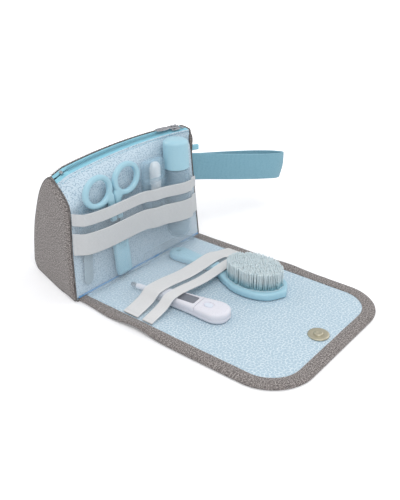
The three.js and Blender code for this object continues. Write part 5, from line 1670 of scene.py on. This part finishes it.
@dataclass(frozen=True)
class FrontPocket(Pocket):
    """The upright pocket on the bag's front, deep where the aspirator stands."""

    shallow: float = 12.7  # over the flat tools
    deepest: float = 29.0  # over the aspirator
    foot_low: float = 5.0
    foot_rise: float = 9.0
    turn_low: float = 8.8
    turn_rise: float = 16.6
    drop: float = 15.0  # of the bands at the right-hand seam
    drop_from: float = 45.0
    drop_reach: float = 49.7
    loose_from: float = 26.0  # above it the film drops with its bands
    free: float = 81.0  # beyond it the film follows the gusset's lean

    def deep(self, out: float) -> float:
        """Returns 0 over the flat tools and 1 over the aspirator."""
        shallow = self.shallow * 1.06
        return max(0.0, min(1.0, (out - shallow) / (self.deepest - shallow)))

    def foot(self, x: float, out: float) -> float:
        return self.foot_low + self.foot_rise * min(1.0, self.deep(out) * 4)

    def turn(self, x: float, out: float) -> float:
        share = 0.4 * min(1.0, self.deep(out) * 4) + 0.6 * self.deep(out)
        return self.turn_low + self.turn_rise * share

    def fall(self, x: float) -> float:
        return self.drop * max(0.0, (x - self.drop_from) / self.drop_reach) ** 1.3

    def slide(self, x: float, v: float) -> float:
        return self.fall(x) * max(0.0, (v - self.loose_from) / (self.top - self.loose_from))

    def place(self, x: float, out: float, v: float) -> Vector:
        edge = BAG.width / 2 - self.seat
        over = max(0.0, abs(x) - self.free) / (edge - self.free)
        drawn = min(abs(x), self.free) + over * (BAG.half_width(0, v) - self.seat - self.free)
        settled = BAG.settled(x / (BAG.width / 2), v)
        return Vector((math.copysign(drawn, x) + settled.x, BAG.front_slope * v - out + ROW_Y + settled.y, v))


@dataclass(frozen=True)
class FlapPocket(Pocket):
    """The flat pocket on the flap, over the brush's handle and the thermometer."""

    lining: float = 3.7
    foot_low: float = 5.0
    turn_high: float = 27.7  # just short of the thermometer's tip
    turn_drop: float = 17.0  # this much nearer the fold over the brush's handle
    step_from: float = -0.2
    step_reach: float = 17.6

    def foot(self, x: float, out: float) -> float:
        return self.foot_low

    def turn(self, x: float, out: float) -> float:
        near = max(0.0, min(1.0, (x - self.step_from) / self.step_reach))
        return self.turn_high - self.turn_drop * near

    def place(self, x: float, out: float, v: float) -> Vector:
        return Vector((x, -v + ROW_Y, self.lining + out))


def front_pocket() -> FrontPocket:
    """Returns the front pocket with its run over the tools."""
    flat, case, deep = FrontPocket.shallow, 18.4, FrontPocket.deepest
    run = ((-94.7, 1.0), (-81.0, flat * 0.8), (-64.05, flat), (-38.0, flat), (-5.34, flat * 1.04),
           (4.9, case * 0.97), (17.7, case * 1.12), (37.575, deep * 0.97), (45.0, deep), (53.1, deep * 0.92),
           (62.55, deep * 0.66), (94.7, 1.0))
    bands = (("front_wide_band", 50.0, 72.0), ("front_narrow_band", 80.0, 92.0))
    return FrontPocket("front_pocket", run, bands, 92.0, "bag", ("front_panel_cloth", "left_gusset_cloth"))


def flap_pocket() -> FlapPocket:
    """Returns the flap's pocket with its run over the thermometer and the brush."""
    lining, thermo, brush, brush_x = FlapPocket.lining, 15.3, 12.3, 35.0
    over_thermo, over_brush = thermo - lining + 1.1, brush - lining + 1.1
    middle = -47 + math.tan(math.radians(Thermometer.turn)) * 46
    run = ((-83.4, 1.0), (middle - 20, over_thermo * 0.55), (middle - 11, over_thermo * 0.98),
           (middle, over_thermo * 1.04), (middle + 11, over_thermo * 0.98),
           ((middle + brush_x) / 2, (over_thermo + over_brush) * 0.42), (brush_x - 13.2, over_brush * 0.98),
           (brush_x, over_brush * 1.04), (brush_x + 13.2, over_brush * 0.98),
           (brush_x + 26.4, over_brush * 0.6), (83.4, 1.0))
    bands = (("flap_wide_band", 53.0, 71.5), ("flap_narrow_band", 77.2, 89.5))
    return FlapPocket("flap_pocket", run, bands, 89.5, "flap_lower", ("flap_near_lining",), FLAP_ELASTIC_PAINTED_LIT)


# Tools


def leaning(x: float, z: float, out: float) -> Matrix:
    """Returns the frame of a tool that leans as the bag's front does, its Z upwards."""
    spot = Matrix.Translation((x, BAG.front_slope * z - out + ROW_Y, z))
    return spot @ Matrix.Rotation(-math.atan(BAG.front_slope), 4, "X")


def in_front(x: float, z: float, out: float, tilt: float) -> Matrix:
    """Returns the frame of a flat tool in the front pocket, its Y upwards and its Z out of the bag."""
    face = leaning(x, z, out) @ Matrix.Rotation(math.pi / 2, 4, "X")
    return face @ Matrix.Rotation(math.radians(tilt), 4, "Z")


def above(frame: Matrix, x: float = 0.0, y: float = 0.0, z: float = 0.0) -> Matrix:
    """Returns a frame moved along its own axes."""
    return frame @ Matrix.Translation((x, y, z))


def quarter(steps: int, first: int = 1) -> list[float]:
    """Returns even angles up to a quarter turn, from a given step on."""
    return [math.pi / 2 * i / steps for i in range(first, steps + 1)]


@dataclass(frozen=True)
class Scissors:
    """Baby nail scissors: two moulded ring handles, steel blades, a pivot screw and a ribbed blade cap."""

    ring_rise: float = 47.0
    ring_spread: float = 19.3
    ring_outer: float = 18.6
    ring_inner: float = 12.4
    thick: float = 5.4
    squareness: float = 2 / 0.7  # of the section; 2 would be an oval
    shank: float = 8.0
    foot: float = 10.2
    voxel: float = 0.55
    cap_width: float = 19.5
    cap_thick: float = 8.0
    cap_length: float = 44.0
    cap_wall: float = 1.75
    cap_gap: float = 8.0

    @property
    def frame(self) -> Matrix:
        """The scissors' own frame, at the pivot."""
        return in_front(-38.0, 62.0, 6.9, 4.4)

    def ring(self, side: int) -> Surface:
        """Makes a handle's finger ring, a little lower than it is wide."""
        middle = (self.ring_outer + self.ring_inner) / 2
        section = superellipse(self.ring_outer - self.ring_inner, self.thick, self.squareness, 16)
        loops = []
        for a in turns(72):
            loop = []
            for out, z in section:
                r = middle + out
                x, y = side * self.ring_spread + r * math.cos(a), self.ring_rise + 0.9 * r * math.sin(a)
                loop.append(Vector((x, y, z)))
            loops.append(loop)
        return Surface().loop(loops)

    def arm(self, side: int) -> Surface:
        """Makes a handle's shank, from the blades up into the ring."""
        near = self.ring_rise - self.ring_outer
        inner = [(0.3, self.foot), (0.3, near + 4), (0.3, self.ring_rise - self.ring_outer * 0.5),
                 (self.ring_spread - self.ring_outer + 2, self.ring_rise - self.ring_inner * 0.4)]
        outer = [(self.shank, self.foot), (self.shank, near - 6), (self.shank * 1.12, near + 0.5),
                 (self.ring_spread - 7, near + 4.5)]
        section = superellipse(1.0, self.thick, self.squareness, 20)
        rings = []
        for (x0, y0), (x1, y1) in zip(sample_spline(inner, 26), sample_spline(outer, 26)):
            ring = []
            for out, z in section:
                share = 0.5 + out
                ring.append(Vector((side * (x0 + (x1 - x0) * share), y0 + (y1 - y0) * share, z)))
            rings.append(ring)
        return Surface().loft(rings)

    def handle(self, name: str, side: int) -> Piece:
        """Makes one handle, its ring and shank melted together as moulding does.

        Args:
            name: the piece's name.
            side: -1 for the left one, 1 for the right one.
        """
        piece = self.ring(side).build(name, [BLUE], place=self.frame)
        other = self.arm(side).build(name + "_shank", [BLUE], place=self.frame)
        joined = bmesh.new()
        joined.from_mesh(piece.data)
        joined.from_mesh(other.data)
        joined.to_mesh(piece.data)
        joined.free()
        drop(other)
        modify(piece, "REMESH", mode="VOXEL", voxel_size=self.voxel * MM)
        modify(piece, "SMOOTH", factor=0.5, iterations=8)
        remade(piece)
        piece.data.materials.clear()
        piece.data.materials.append(BLUE.material())
        piece.data.shade_smooth()
        return piece

    def cap(self) -> Piece:
        """Makes the blade cap, open at its top, with grip ribs on its front."""
        top, wall = -self.cap_gap, self.cap_wall
        low = top - self.cap_length
        profile = [(3.2, low), (1.8, low + 0.25), (0.8, low + 0.9), (0.2, low + 2.0), (0.0, low + 3.6),
                   (0.0, top - 9), (0.0, top - 2.2), (-0.35, top - 1.8), (-0.35, top - 0.4), (-0.1, top),
                   (wall * 0.7, top), (wall, top - 0.4), (wall, low + 4), (wall + 1, low + wall)]
        rings = []
        for inset, y in profile:
            outline = superellipse(self.cap_width - 2 * inset, self.cap_thick - 2 * inset, 3.2, 72)
            rings.append([Vector((x, y, z)) for x, z in outline])
        surface = Surface().loft(rings)
        count, start, stop = 5, top - 4.2, top - 14.0
        for i in range(count):
            x = ((i + 0.5) / count - 0.5) * (self.cap_width - self.cap_thick)
            places = [k / 12 for k in range(13)]
            rise = [self.cap_thick / 2 + 0.1 - 0.5 * abs(2 * t - 1) ** 6 for t in places]
            surface.tube([Vector((x, start + (stop - start) * t, z)) for t, z in zip(places, rise)], 0.75)
        return surface.build("scissor_blade_cap_moulding", [BLUE], place=self.frame)

    def build(self) -> None:
        """Makes every piece of the scissors."""
        halves = (("left", -1, "scissors_half"), ("right", 1, "scissors"))
        for label, side, body in halves:
            ride(self.handle(f"scissor_handle_{label}_moulding", side), body, f"scissor_handle_{label}")
        ride(self.cap(), "scissors", "scissor_blade_cap")
        for label, _, body in halves:
            refined(f"scissor_blade_{label}", STEEL, 0.15, body)
        refined("scissor_pivot_screw", STEEL, 0.25, "scissors")


@dataclass(frozen=True)
class NailFile:
    """A nail file with a clear handle and a rough grey blade."""

    def build(self) -> None:
        """Makes the handle and the blade."""
        frame = in_front(-75.0, 60.0, 0.3, -4.6)
        grip = slab(box(18, 38, 7.8, 19.0, steps=10), 0.0, 3.0, 0.9)
        grit = slab(box(11, 58, 5.0, -17.0, steps=10), 1.0, 2.0, 0.2)
        handle = unshaded(grip.build("nail_file_handle_moulding", [CLEAR], place=frame))
        ride(handle, "nail_file", "nail_file_handle")
        ride(grit.build("nail_file_blade_grit", [GRIT], place=frame), "nail_file", "nail_file_blade")


@dataclass(frozen=True)
class FingerBrushCase:
    """A clear oval case with a lid; inside, a silicone finger brush stands on its peg."""

    width: float = 32.0
    depth: float = 17.0
    wall: float = 1.2
    body: float = 52.0
    lid: float = 17.0
    seam: float = 0.3
    shift: float = 3.5
    finger_radius: float = 5.4
    finger_wall: float = 1.1
    finger_height: float = 30.0

    @property
    def frame(self) -> Matrix:
        """The case's own frame, at its foot."""
        return leaning(14.5, 50.0, 9.1)

    @property
    def sleeve_frame(self) -> Matrix:
        """The finger brush's frame, at its open end."""
        low = self.body + self.lid - self.finger_height - 2 * self.wall - self.seam
        return above(self.frame, self.shift, 0, low)

    @property
    def outline(self) -> Outline:
        """The case's outline."""
        return oval(self.width, self.depth, steps=72)

    def cup(self) -> Surface:
        """Makes the case's open body."""
        wall, high = self.wall, self.body
        profile = [(2.2, 0.0), (1.1, 0.25), (0.4, 0.8), (0.0, 1.8), (0.0, high - 1.6), (-0.25, high - 1.2),
                   (-0.25, high - 0.2), (0.1, high), (wall - 0.2, high), (wall, high - 0.4), (wall, 3.0),
                   (wall + 0.8, 1.8), (wall + 2.2, wall)]
        return Surface().loft(levels(self.outline, profile))

    def top(self) -> Surface:
        """Makes the lid, with its spigot inside the body's mouth."""
        wall, base = self.wall, self.body + self.seam
        high, foot, spigot, inner = base + self.lid, base - 5.0, wall + self.seam, 2 * wall + self.seam
        profile = [(inner, foot), (spigot, foot), (spigot, base), (0.1, base), (-0.15, base + 0.3),
                   (-0.15, base + 1.0), (0.0, base + 1.3), (0.0, high - 3.4), (0.35, high - 1.9),
                   (1.1, high - 0.8), (2.2, high - 0.2), (3.6, high)]
        under = [(3.8, high - wall), (inner + 0.8, high - wall - 0.9), (inner, high - wall - 2.4),
                 (inner, foot)]
        surface = Surface()
        outside = surface.grid(levels(self.outline, profile), closed=True)
        inside = surface.grid(levels(self.outline, under), closed=True)
        surface.face(outside[-1])
        surface.face(inside[0][::-1])
        return surface

    def finger(self) -> Piece:
        """Makes the finger brush's sleeve, with a rolled rim and a round end."""
        r, high, bore = self.finger_radius, self.finger_height, self.finger_radius - self.finger_wall
        waist = high - r
        profile = [(bore, 0.0), (r - 0.4, -0.1), (r + 0.25, 0.3), (r + 0.3, 1.0), (r, 1.6), (r, waist)]
        profile += [(r * math.cos(a), waist + r * math.sin(a)) for a in quarter(8)[:-1]]
        profile += [(0.15, high), (0.15, high - self.finger_wall)]
        profile += [(bore * math.cos(a), waist + 4.2 * math.sin(a)) for a in quarter(6, 0)[-2::-1]]
        surface = Surface()
        surface.grid(lathe([*profile, (bore, 0.0)], 40), closed=True)
        return surface.build("finger_brush_sleeve", [SILICONE], place=self.sleeve_frame)

    def nubs(self) -> Piece:
        """Makes the brush's soft nubs, in staggered rows on one side."""
        spot = self.sleeve_frame
        points, ups = [], []
        for row in range(9):
            for i in range(6):
                turn = math.radians(180 + 16 * (i - 2.5 + 0.5 * (row % 2)))
                out = Vector((math.cos(turn), math.sin(turn), 0))
                points.append(spot @ (out * (self.finger_radius - 0.2) + UP * (6.5 + row * 2.1)))
                ups.append((spot.to_3x3() @ out).normalized())
        nub = Surface().loft(lathe([(0.55, 0.0), (0.45, 0.7), (0.4, 1.1), (0.2, 1.4)], 8))
        return repeat(guide("finger_brush_nubs", [(points, ups)], joined=False), points_tree, nub, SILICONE)

    def build(self) -> None:
        """Makes every piece of the case."""
        cup = self.cup().build("finger_case_body", [CLEAR], place=self.frame)
        lid = self.top().build("finger_case_lid", [CLEAR], place=self.frame)
        ride(unshaded(cup), "case", "finger_brush_case")
        ride(unshaded(lid), "case_lid", "finger_brush_case_lid")
        ride(self.finger(), "case", "finger_brush")
        ride(self.nubs(), "case")
        refined("finger_brush_stand", CLEAR, 0.3, "case")


@dataclass(frozen=True)
class Aspirator:
    """A nasal aspirator: a clear squeeze bottle, a silicone nozzle and a round-topped cap."""

    radius: float = 13.5
    cap_height: float = 31.0
    dome: float = 5.2
    foot: float = 78.0  # of the cap, above the bottle's foot

    def bottle(self) -> Surface:
        """Makes the hollow bottle with its neck."""
        r, top = self.radius, self.foot - 0.3
        outside = [(0.2, 0.9), (6.4, 0.7), (7.6, 0.0), (8.6, 0.3), (9.3, 1.2), (10.6, 3.2), (12.3, 6.0),
                   (13.2, 9.0), (r, 12.5), (r, top - 7.0), (r - 0.35, top - 6.4), (r - 0.35, top - 5.6),
                   (r, top - 5.0), (r, top - 1.2), (r - 0.4, top - 0.3), (r - 1.2, top), (9.0, top),
                   (9.0, top + 7.0)]
        inside = [(7.6, top + 7.0), (7.6, top - 1.4), (r - 1.4, top - 1.6), (r - 1.4, 12.5), (11.6, 8.4),
                  (9.2, 4.6), (7.6, 1.8), (0.2, 1.9)]
        return Surface().loft(lathe([*outside, *inside]))

    def cap(self) -> Surface:
        """Makes the hollow cap with its domed top."""
        r, low, high = self.radius, self.foot, self.foot + self.cap_height
        waist = high - self.dome
        outside = [(r - 1.4, low), (r - 0.5, low), (r + 0.15, low + 0.4), (r + 0.15, low + 1.4),
                   (r, low + 1.8), (r, waist)]
        outside += [(r * math.cos(a) ** 0.45, waist + self.dome * math.sin(a)) for a in quarter(14)[:-1]]
        inside = [(0.2, high), (0.2, high - 1.4), (r * 0.6, high - 2.6), (r - 1.6, high - 8),
                  (r - 1.4, low + 0.2)]
        return Surface().loop(lathe([*outside, *inside]))

    def build(self) -> None:
        """Makes every piece of the aspirator."""
        frame = leaning(45.0, 26.0, 14.4)
        bottle = unshaded(self.bottle().build("aspirator_bottle_moulding", [CLEAR], place=frame))
        ride(bottle, "aspirator", "aspirator_bottle")
        ride(self.cap().build("aspirator_cap_moulding", [BLUE], place=frame), "aspirator_cap",
             "aspirator_cap")
        refined("aspirator_seal", SILICONE, 0.3, "aspirator")
        refined("aspirator_nozzle", SILICONE, 0.3, "aspirator")


@dataclass(frozen=True)
class HairBrush:
    """A soft baby brush: a moulded body, a cushion pad and dense nylon bristles."""

    near: float = 11.0
    far: float = 160.5
    head_length: float = 77.0
    head_width: float = 51.0
    handle: float = 22.0
    neck: float = 15.0
    thick: float = 8.0
    bevel: float = 3.0
    hole_at: float = 10.0
    pad_inset: float = 3.8
    pad_ends: float = 7.0
    bristle: float = 18.0
    spacing: float = 0.95

    @property
    def frame(self) -> Matrix:
        """The brush's own frame, its Y from the handle's end to the head."""
        return Matrix.Translation((35.0, ROW_Y - self.near, 4.3)) @ Matrix.Rotation(math.pi, 4, "Z")

    @property
    def head_frame(self) -> Matrix:
        """The frame at the head's middle."""
        return above(self.frame, 0, self.far - self.near - self.head_length / 2)

    def pad_size(self, more: float = 0.0) -> Point:
        """Returns the pad's width and length, or those of an oval a little larger."""
        return self.head_width - 2 * self.pad_inset + more, self.head_length - 2 * self.pad_ends + more

    def outline(self, inset: float) -> list[Point]:
        """Returns the body's outline at an inset."""
        length = self.far - self.near
        head = length - self.head_length
        stations = [(inset, 0.0), (inset + self.handle * 0.12, self.handle / 2 * 0.62 - inset),
                    (inset + self.handle * 0.45, self.handle / 2 - inset),
                    (head * 0.45, self.handle * 0.43 - inset),
                    (head * 0.85, self.neck / 2 - inset)]
        for along, half in ((0.12, 0.33), (0.36, 0.485), (0.62, 0.5), (0.86, 0.35)):
            stations.append((head + self.head_length * along, self.head_width * half - inset))
        return smooth_outline([*stations, (length - inset, 0.0)], True, 70)

    def body(self) -> Piece:
        """Makes the body, with its hanging hole and the recess for the pad."""
        top = self.thick
        surface = slab(self.outline, 0.0, top, self.bevel)
        piece = surface.build("brush_body_moulding", [BLUE], smooth=60.0, place=self.frame)
        bore = [(3.4, -1.0), (2.9, 0.35), (2.6, 1.0), (2.6, top - 1.0), (2.9, top - 0.35), (3.6, top + 1.0)]
        carve(piece, Surface().loft(lathe(bore, 40)), above(self.frame, 0, self.hole_at))
        recess = levels(oval(*self.pad_size(0.8), steps=96), [(0.0, top - 1.5), (0.0, top + 3)])
        return carve(piece, Surface().loft(recess), self.head_frame)

    def pad(self) -> Piece:
        """Makes the soft pad that the bristles stand in."""
        profile = [(0.4, 0.0), (0.0, 0.3), (0.0, 1.0), (0.5, 1.5), (3.0, 1.9), (9.0, 2.1), (15.0, 2.2)]
        surface = Surface().loft(levels(oval(*self.pad_size(), steps=80), profile))
        return surface.build("brush_pad", [PAD], place=above(self.head_frame, 0, 0, self.thick - 1.4))

    def bristles(self) -> Piece:
        """Plants the bristles, close together over the pad."""
        spot = above(self.head_frame, 0, 0, self.thick + 0.4)
        rim = superellipse(*self.pad_size(-1.2), 2.0, 60)
        mesh = bpy.data.meshes.new("brush_bristle_strands")
        mesh.from_pydata([tuple((spot @ Vector((x, y, 0))) * MM) for x, y in rim], [],
                         [tuple(range(len(rim)))])
        mesh.update()
        if mesh.polygons[0].normal.z < 0:
            mesh.flip_normals()
        high = self.bristle
        strand = Surface().loft(lathe([(0.6, 0.0), (0.62, high * 0.5), (0.6, high * 0.95), (0.34, high)], 4))
        values = {"Spacing": self.spacing * MM, "Tilt": 0.02, "Seed": 7}
        return repeat(stand(mesh.name, mesh), scatter_tree, strand, FIBRE, **values)

    def build(self) -> None:
        """Makes every piece of the brush."""
        ride(self.body(), "brush", "brush_body")
        ride(self.pad(), "brush")
        ride(self.bristles(), "brush", "brush_bristles")


@dataclass(frozen=True)
class Thermometer:
    """A digital thermometer: two white shells with a seam between, a display, a button and a probe."""

    length: float = 114.0
    probe: float = 24.0
    neck: float = 11.0
    window_width: float = 20.0
    end_width: float = 27.0
    thick: float = 11.0
    bevel: float = 3.4
    window_at: float = 69.0
    button_at: float = 92.0
    seam_gap: float = 0.08  # on either side of the split
    turn: float = 6.6

    @property
    def frame(self) -> Matrix:
        """The thermometer's own frame, its Y from the probe's tip to the wide end."""
        turn = Matrix.Rotation(math.pi + math.radians(self.turn), 4, "Z")
        return Matrix.Translation((-47.0, ROW_Y - 28.0, 4.3)) @ turn

    def outline(self, inset: float) -> list[Point]:
        """Returns the shell's outline at an inset."""
        start, end, wide = self.probe + inset, self.length, self.end_width
        stations = [(start, self.neck * 0.35 - inset * 0.7), (start + self.neck * 0.3, self.neck / 2 - inset),
                    (self.window_at - 12.6, self.window_width * 0.46 - inset),
                    (self.window_at + 7.2, self.window_width * 0.54 - inset),
                    (self.button_at, wide * 0.485 - inset),
                    (end - wide * 0.42, wide / 2 - inset), (end - wide * 0.15, wide * 0.36 - inset),
                    (end - inset, wide * 0.15 - inset * 0.6)]
        return smooth_outline(stations, False)

    def shell(self, name: str, low: float, high: float, under: bool) -> Piece:
        """Makes the upper or the lower shell; the seam between them has eased edges."""
        profile = eased(low, high, self.bevel, 6)
        half = len(profile) // 2
        if under:
            profile = [*profile[:half], (0.0, high - 0.35), (0.1, high - 0.1), (0.35, high), (2.0, high)]
        else:
            seam = [(2.0, low), (0.35, low), (0.1, low + 0.1), (0.0, low + 0.35)]
            profile = [*seam, *profile[half:], (self.bevel + 1.2, high + 0.12)]
        surface = Surface().loft(levels(self.outline, profile))
        return surface.build(name, [WHITE], smooth=50.0, place=self.frame)

    def upper(self) -> Piece:
        """Makes the upper shell, with its window, its cross seam and the dish round its button."""
        top, seam_at = self.thick, self.button_at - 10.0

        def seam(inset: float) -> list[Point]:
            return [(x, y + seam_at) for x,
                    y in rounded_box(40 - 2 * inset, 0.5 - 0.5 * min(inset, 0.2), 0.1)]

        piece = self.shell("thermometer_upper_moulding", top * 0.45 + self.seam_gap, top, False)
        carve(piece, slab(box(12.4, 19.4, 1.6, self.window_at, 0.4), top - 0.55, top + 3, 0.2), self.frame)
        carve(piece, slab(seam, top - 4.2, top + 3, 0.05), self.frame)
        carve(piece, slab(oval(9.4, 12.0, self.button_at, 2.2), top - 0.7, top + 3, 0.5), self.frame)
        return piece

    def build(self) -> None:
        """Makes every piece of the thermometer."""
        top, body = self.thick, "thermometer"
        ride(self.upper(), body, "thermometer_upper_shell")
        lower = self.shell("thermometer_lower_moulding", 0.0, top * 0.45 - self.seam_gap, True)
        ride(lower, body, "thermometer_lower_shell")
        glass = slab(box(11.6, 18.6, 1.3, self.window_at, 0.4), top - 1.0, top - 0.02, 0.2)
        ride(glass.build("thermometer_display_glass", [WINDOW], place=self.frame), body, "thermometer_window")
        key = slab(oval(7.0, 9.4, self.button_at, 2.2), top - 2.8, top + 0.15, 0.6)
        key_piece = key.build("thermometer_button_key", [BUTTON], place=self.frame)
        ride(key_piece, "thermometer_button", "thermometer_button")
        refined("thermometer_battery_door", WHITE, 0.2, body)
        refined("thermometer_cell", NICKEL, 0.3, body)
        refined("thermometer_board", BOARD, 0.1, body)
        self.tip()

    def tip(self) -> None:
        """Makes the soft probe and its metal tip."""
        lift = above(self.frame, 0, 0, self.thick / 2) @ Matrix.Rotation(-math.pi / 2, 4, "X")
        sleeve = [(2.3, 7.3), (2.55, 7.6), (2.6, 9.0), (2.75, 16), (3.0, 22.0), (3.6, 24.6), (4.2, 26.0),
                  (4.2, 26.2)]
        probe = Surface().loft(lathe(sleeve, 40)).build("thermometer_probe_sleeve", [PROBE], place=lift)
        ride(probe, "thermometer", "thermometer_probe")
        dome = [(2.3 * math.sin(a), 2.3 - 2.3 * math.cos(a)) for a in quarter(8)]
        metal = Surface().loft(lathe([(0.1, 0.0), *dome, (2.35, 3.2), (2.4, 6.9), (2.2, 7.1)], 36))
        tip = metal.build("thermometer_steel_tip", [STEEL], place=lift)
        ride(tip, "thermometer", "thermometer_metal_tip")


@dataclass(frozen=True)
class Snap:
    """The magnetic snap: a plain champagne stud on the flap's tip and its socket on the bag's back."""

    radius: float = 10.0
    from_fold: float = 217.0

    def build(self) -> None:
        """Makes the stud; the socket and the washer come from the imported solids."""
        r = self.radius
        rim = [(r - 0.5, 0.0), (r, 0.3), (r, 0.7), (r - 0.3, 1.1), (r - 1.0, 1.35), (r - 2.4, 1.45)]
        face = [(5.6, 1.3), (4.7, 1.25), (4.5, 1.6), (4.2, 2.4), (3.7, 2.75), (2.4, 2.8), (1.3, 2.6),
                (0.6, 2.5)]
        stud = Surface().loft(lathe([(2.1, 2.3 - FLAP.top), (2.1, 0.0), *rim, *face], 72))
        place = Matrix.Translation((0, ROW_Y - self.from_fold, FLAP.top))
        ride(stud.build("snap_stud_pressing", [CHAMPAGNE], smooth=50.0, place=place), "flap_tip", "snap_stud")
        refined("snap_socket", CHAMPAGNE, 0.4, "bag")
        refined("snap_washer", NICKEL, 0.1, "flap_tip")


# The studio


@dataclass(frozen=True)
class Studio:
    """A plain white sweep, soft lamps and the camera at the photograph's angle."""

    focal_px: float = 660.0
    frame_px: Point = (400.0, 500.0)
    distance: float = 670.7
    azimuth: float = -51.2
    elevation: float = 27.5
    target: tuple[float, float, float] = (11.4, -115.3, 38.0)

    def floor(self) -> None:
        """Makes the floor, which shows white and keeps the object's shadow."""
        mesh = bpy.data.meshes.new("studio_floor")
        size = 4.0
        mesh.from_pydata([(-size, -size, 0), (size, -size, 0), (size, size, 0), (-size, size, 0)], [],
                         [(0, 1, 2, 3)])
        made = bpy.data.materials.new("white_sweep")
        made.use_nodes = True
        tree = made.node_tree
        shader = tree.nodes["Principled BSDF"]
        place = add_node(tree, "ShaderNodeTexCoord").outputs["Object"]
        far = add_node(tree, "ShaderNodeVectorMath", {0: place}, operation="LENGTH").outputs["Value"]
        seen = add_node(tree, "ShaderNodeLightPath").outputs["Is Camera Ray"]
        glow = sums(tree, "MULTIPLY", seen, span(tree, far, (0.22, 0.75), (0.16, 0.9)))
        feed(shader, {"Base Color": srgb("#f2f2f3"), "Roughness": 0.35, "Specular IOR Level": 0.3})
        feed(shader, {"Emission Strength": glow, "Emission Color": (1, 1, 1, 1)})
        mesh.materials.append(made)
        piece = stand("studio_floor", mesh)
        piece.location.z = -0.0002

    def world(self) -> None:
        """Makes an even pale surrounding that shows white behind the floor."""
        world = bpy.data.worlds.new("studio_world")
        bpy.context.scene.world = world
        world.use_nodes = True
        tree = world.node_tree
        tree.nodes.clear()
        path = add_node(tree, "ShaderNodeLightPath")
        seen = sums(tree, "MAXIMUM", path.outputs["Is Camera Ray"], path.outputs["Is Transmission Ray"])
        strength = span(tree, seen, (0.0, 1.0), (0.7, 1.0))
        back = add_node(tree, "ShaderNodeBackground", {"Color": srgb("#fbfcff"), "Strength": strength})
        add_node(tree, "ShaderNodeOutputWorld", {"Surface": back.outputs[0]})

    def lamp(self, name: str, place: Vector, size: float, power: float) -> None:
        data = bpy.data.lights.new(name, "AREA")
        data.shape = "SQUARE"
        data.size = size
        data.energy = power
        lamp = stand(name, data)
        lamp.location = place
        lamp.rotation_euler = (Vector((0.0, -0.1, 0.05)) - place).to_track_quat("-Z", "Y").to_euler()

    def camera(self) -> None:
        """Stands the camera where the photograph was taken from."""
        data = bpy.data.cameras.new("photo_camera")
        data.sensor_fit = "VERTICAL"
        data.sensor_height = 36.0
        data.lens = self.focal_px / self.frame_px[1] * data.sensor_height
        data.clip_start = 0.01
        camera = stand("photo_camera", data)
        side, up = math.radians(self.azimuth), math.radians(self.elevation)
        away = Vector((math.sin(side) * math.cos(up), -math.cos(side) * math.cos(up), math.sin(up)))
        camera.location = Vector(self.target) * MM + away * self.distance * MM
        camera.rotation_euler = (-away).to_track_quat("-Z", "Y").to_euler()
        bpy.context.scene.camera = camera

    def build(self) -> None:
        """Makes the whole studio."""
        self.floor()
        self.world()
        self.lamp("key_lamp", Vector((-0.5, -0.7, 1.25)), 0.9, 8.5)
        self.lamp("fill_lamp", Vector((1.0, -0.5, 0.8)), 0.9, 3.0)
        self.lamp("rim_lamp", Vector((-0.2, 1.0, 0.9)), 0.7, 3.0)
        self.camera()
        bpy.context.scene.view_settings.view_transform = "Standard"


def main() -> None:
    FRAME.update(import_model())
    bag = (BagShell(), ZipFastener(), WristStrap(), Flap(), front_pocket(), flap_pocket())
    tools = (Scissors(), NailFile(), FingerBrushCase(), Aspirator(), HairBrush(), Thermometer())
    for part in (Studio(), *bag, *tools, Snap()):
        part.build()


if __name__ == "__main__":
    logging.basicConfig(level=logging.INFO)
    main()
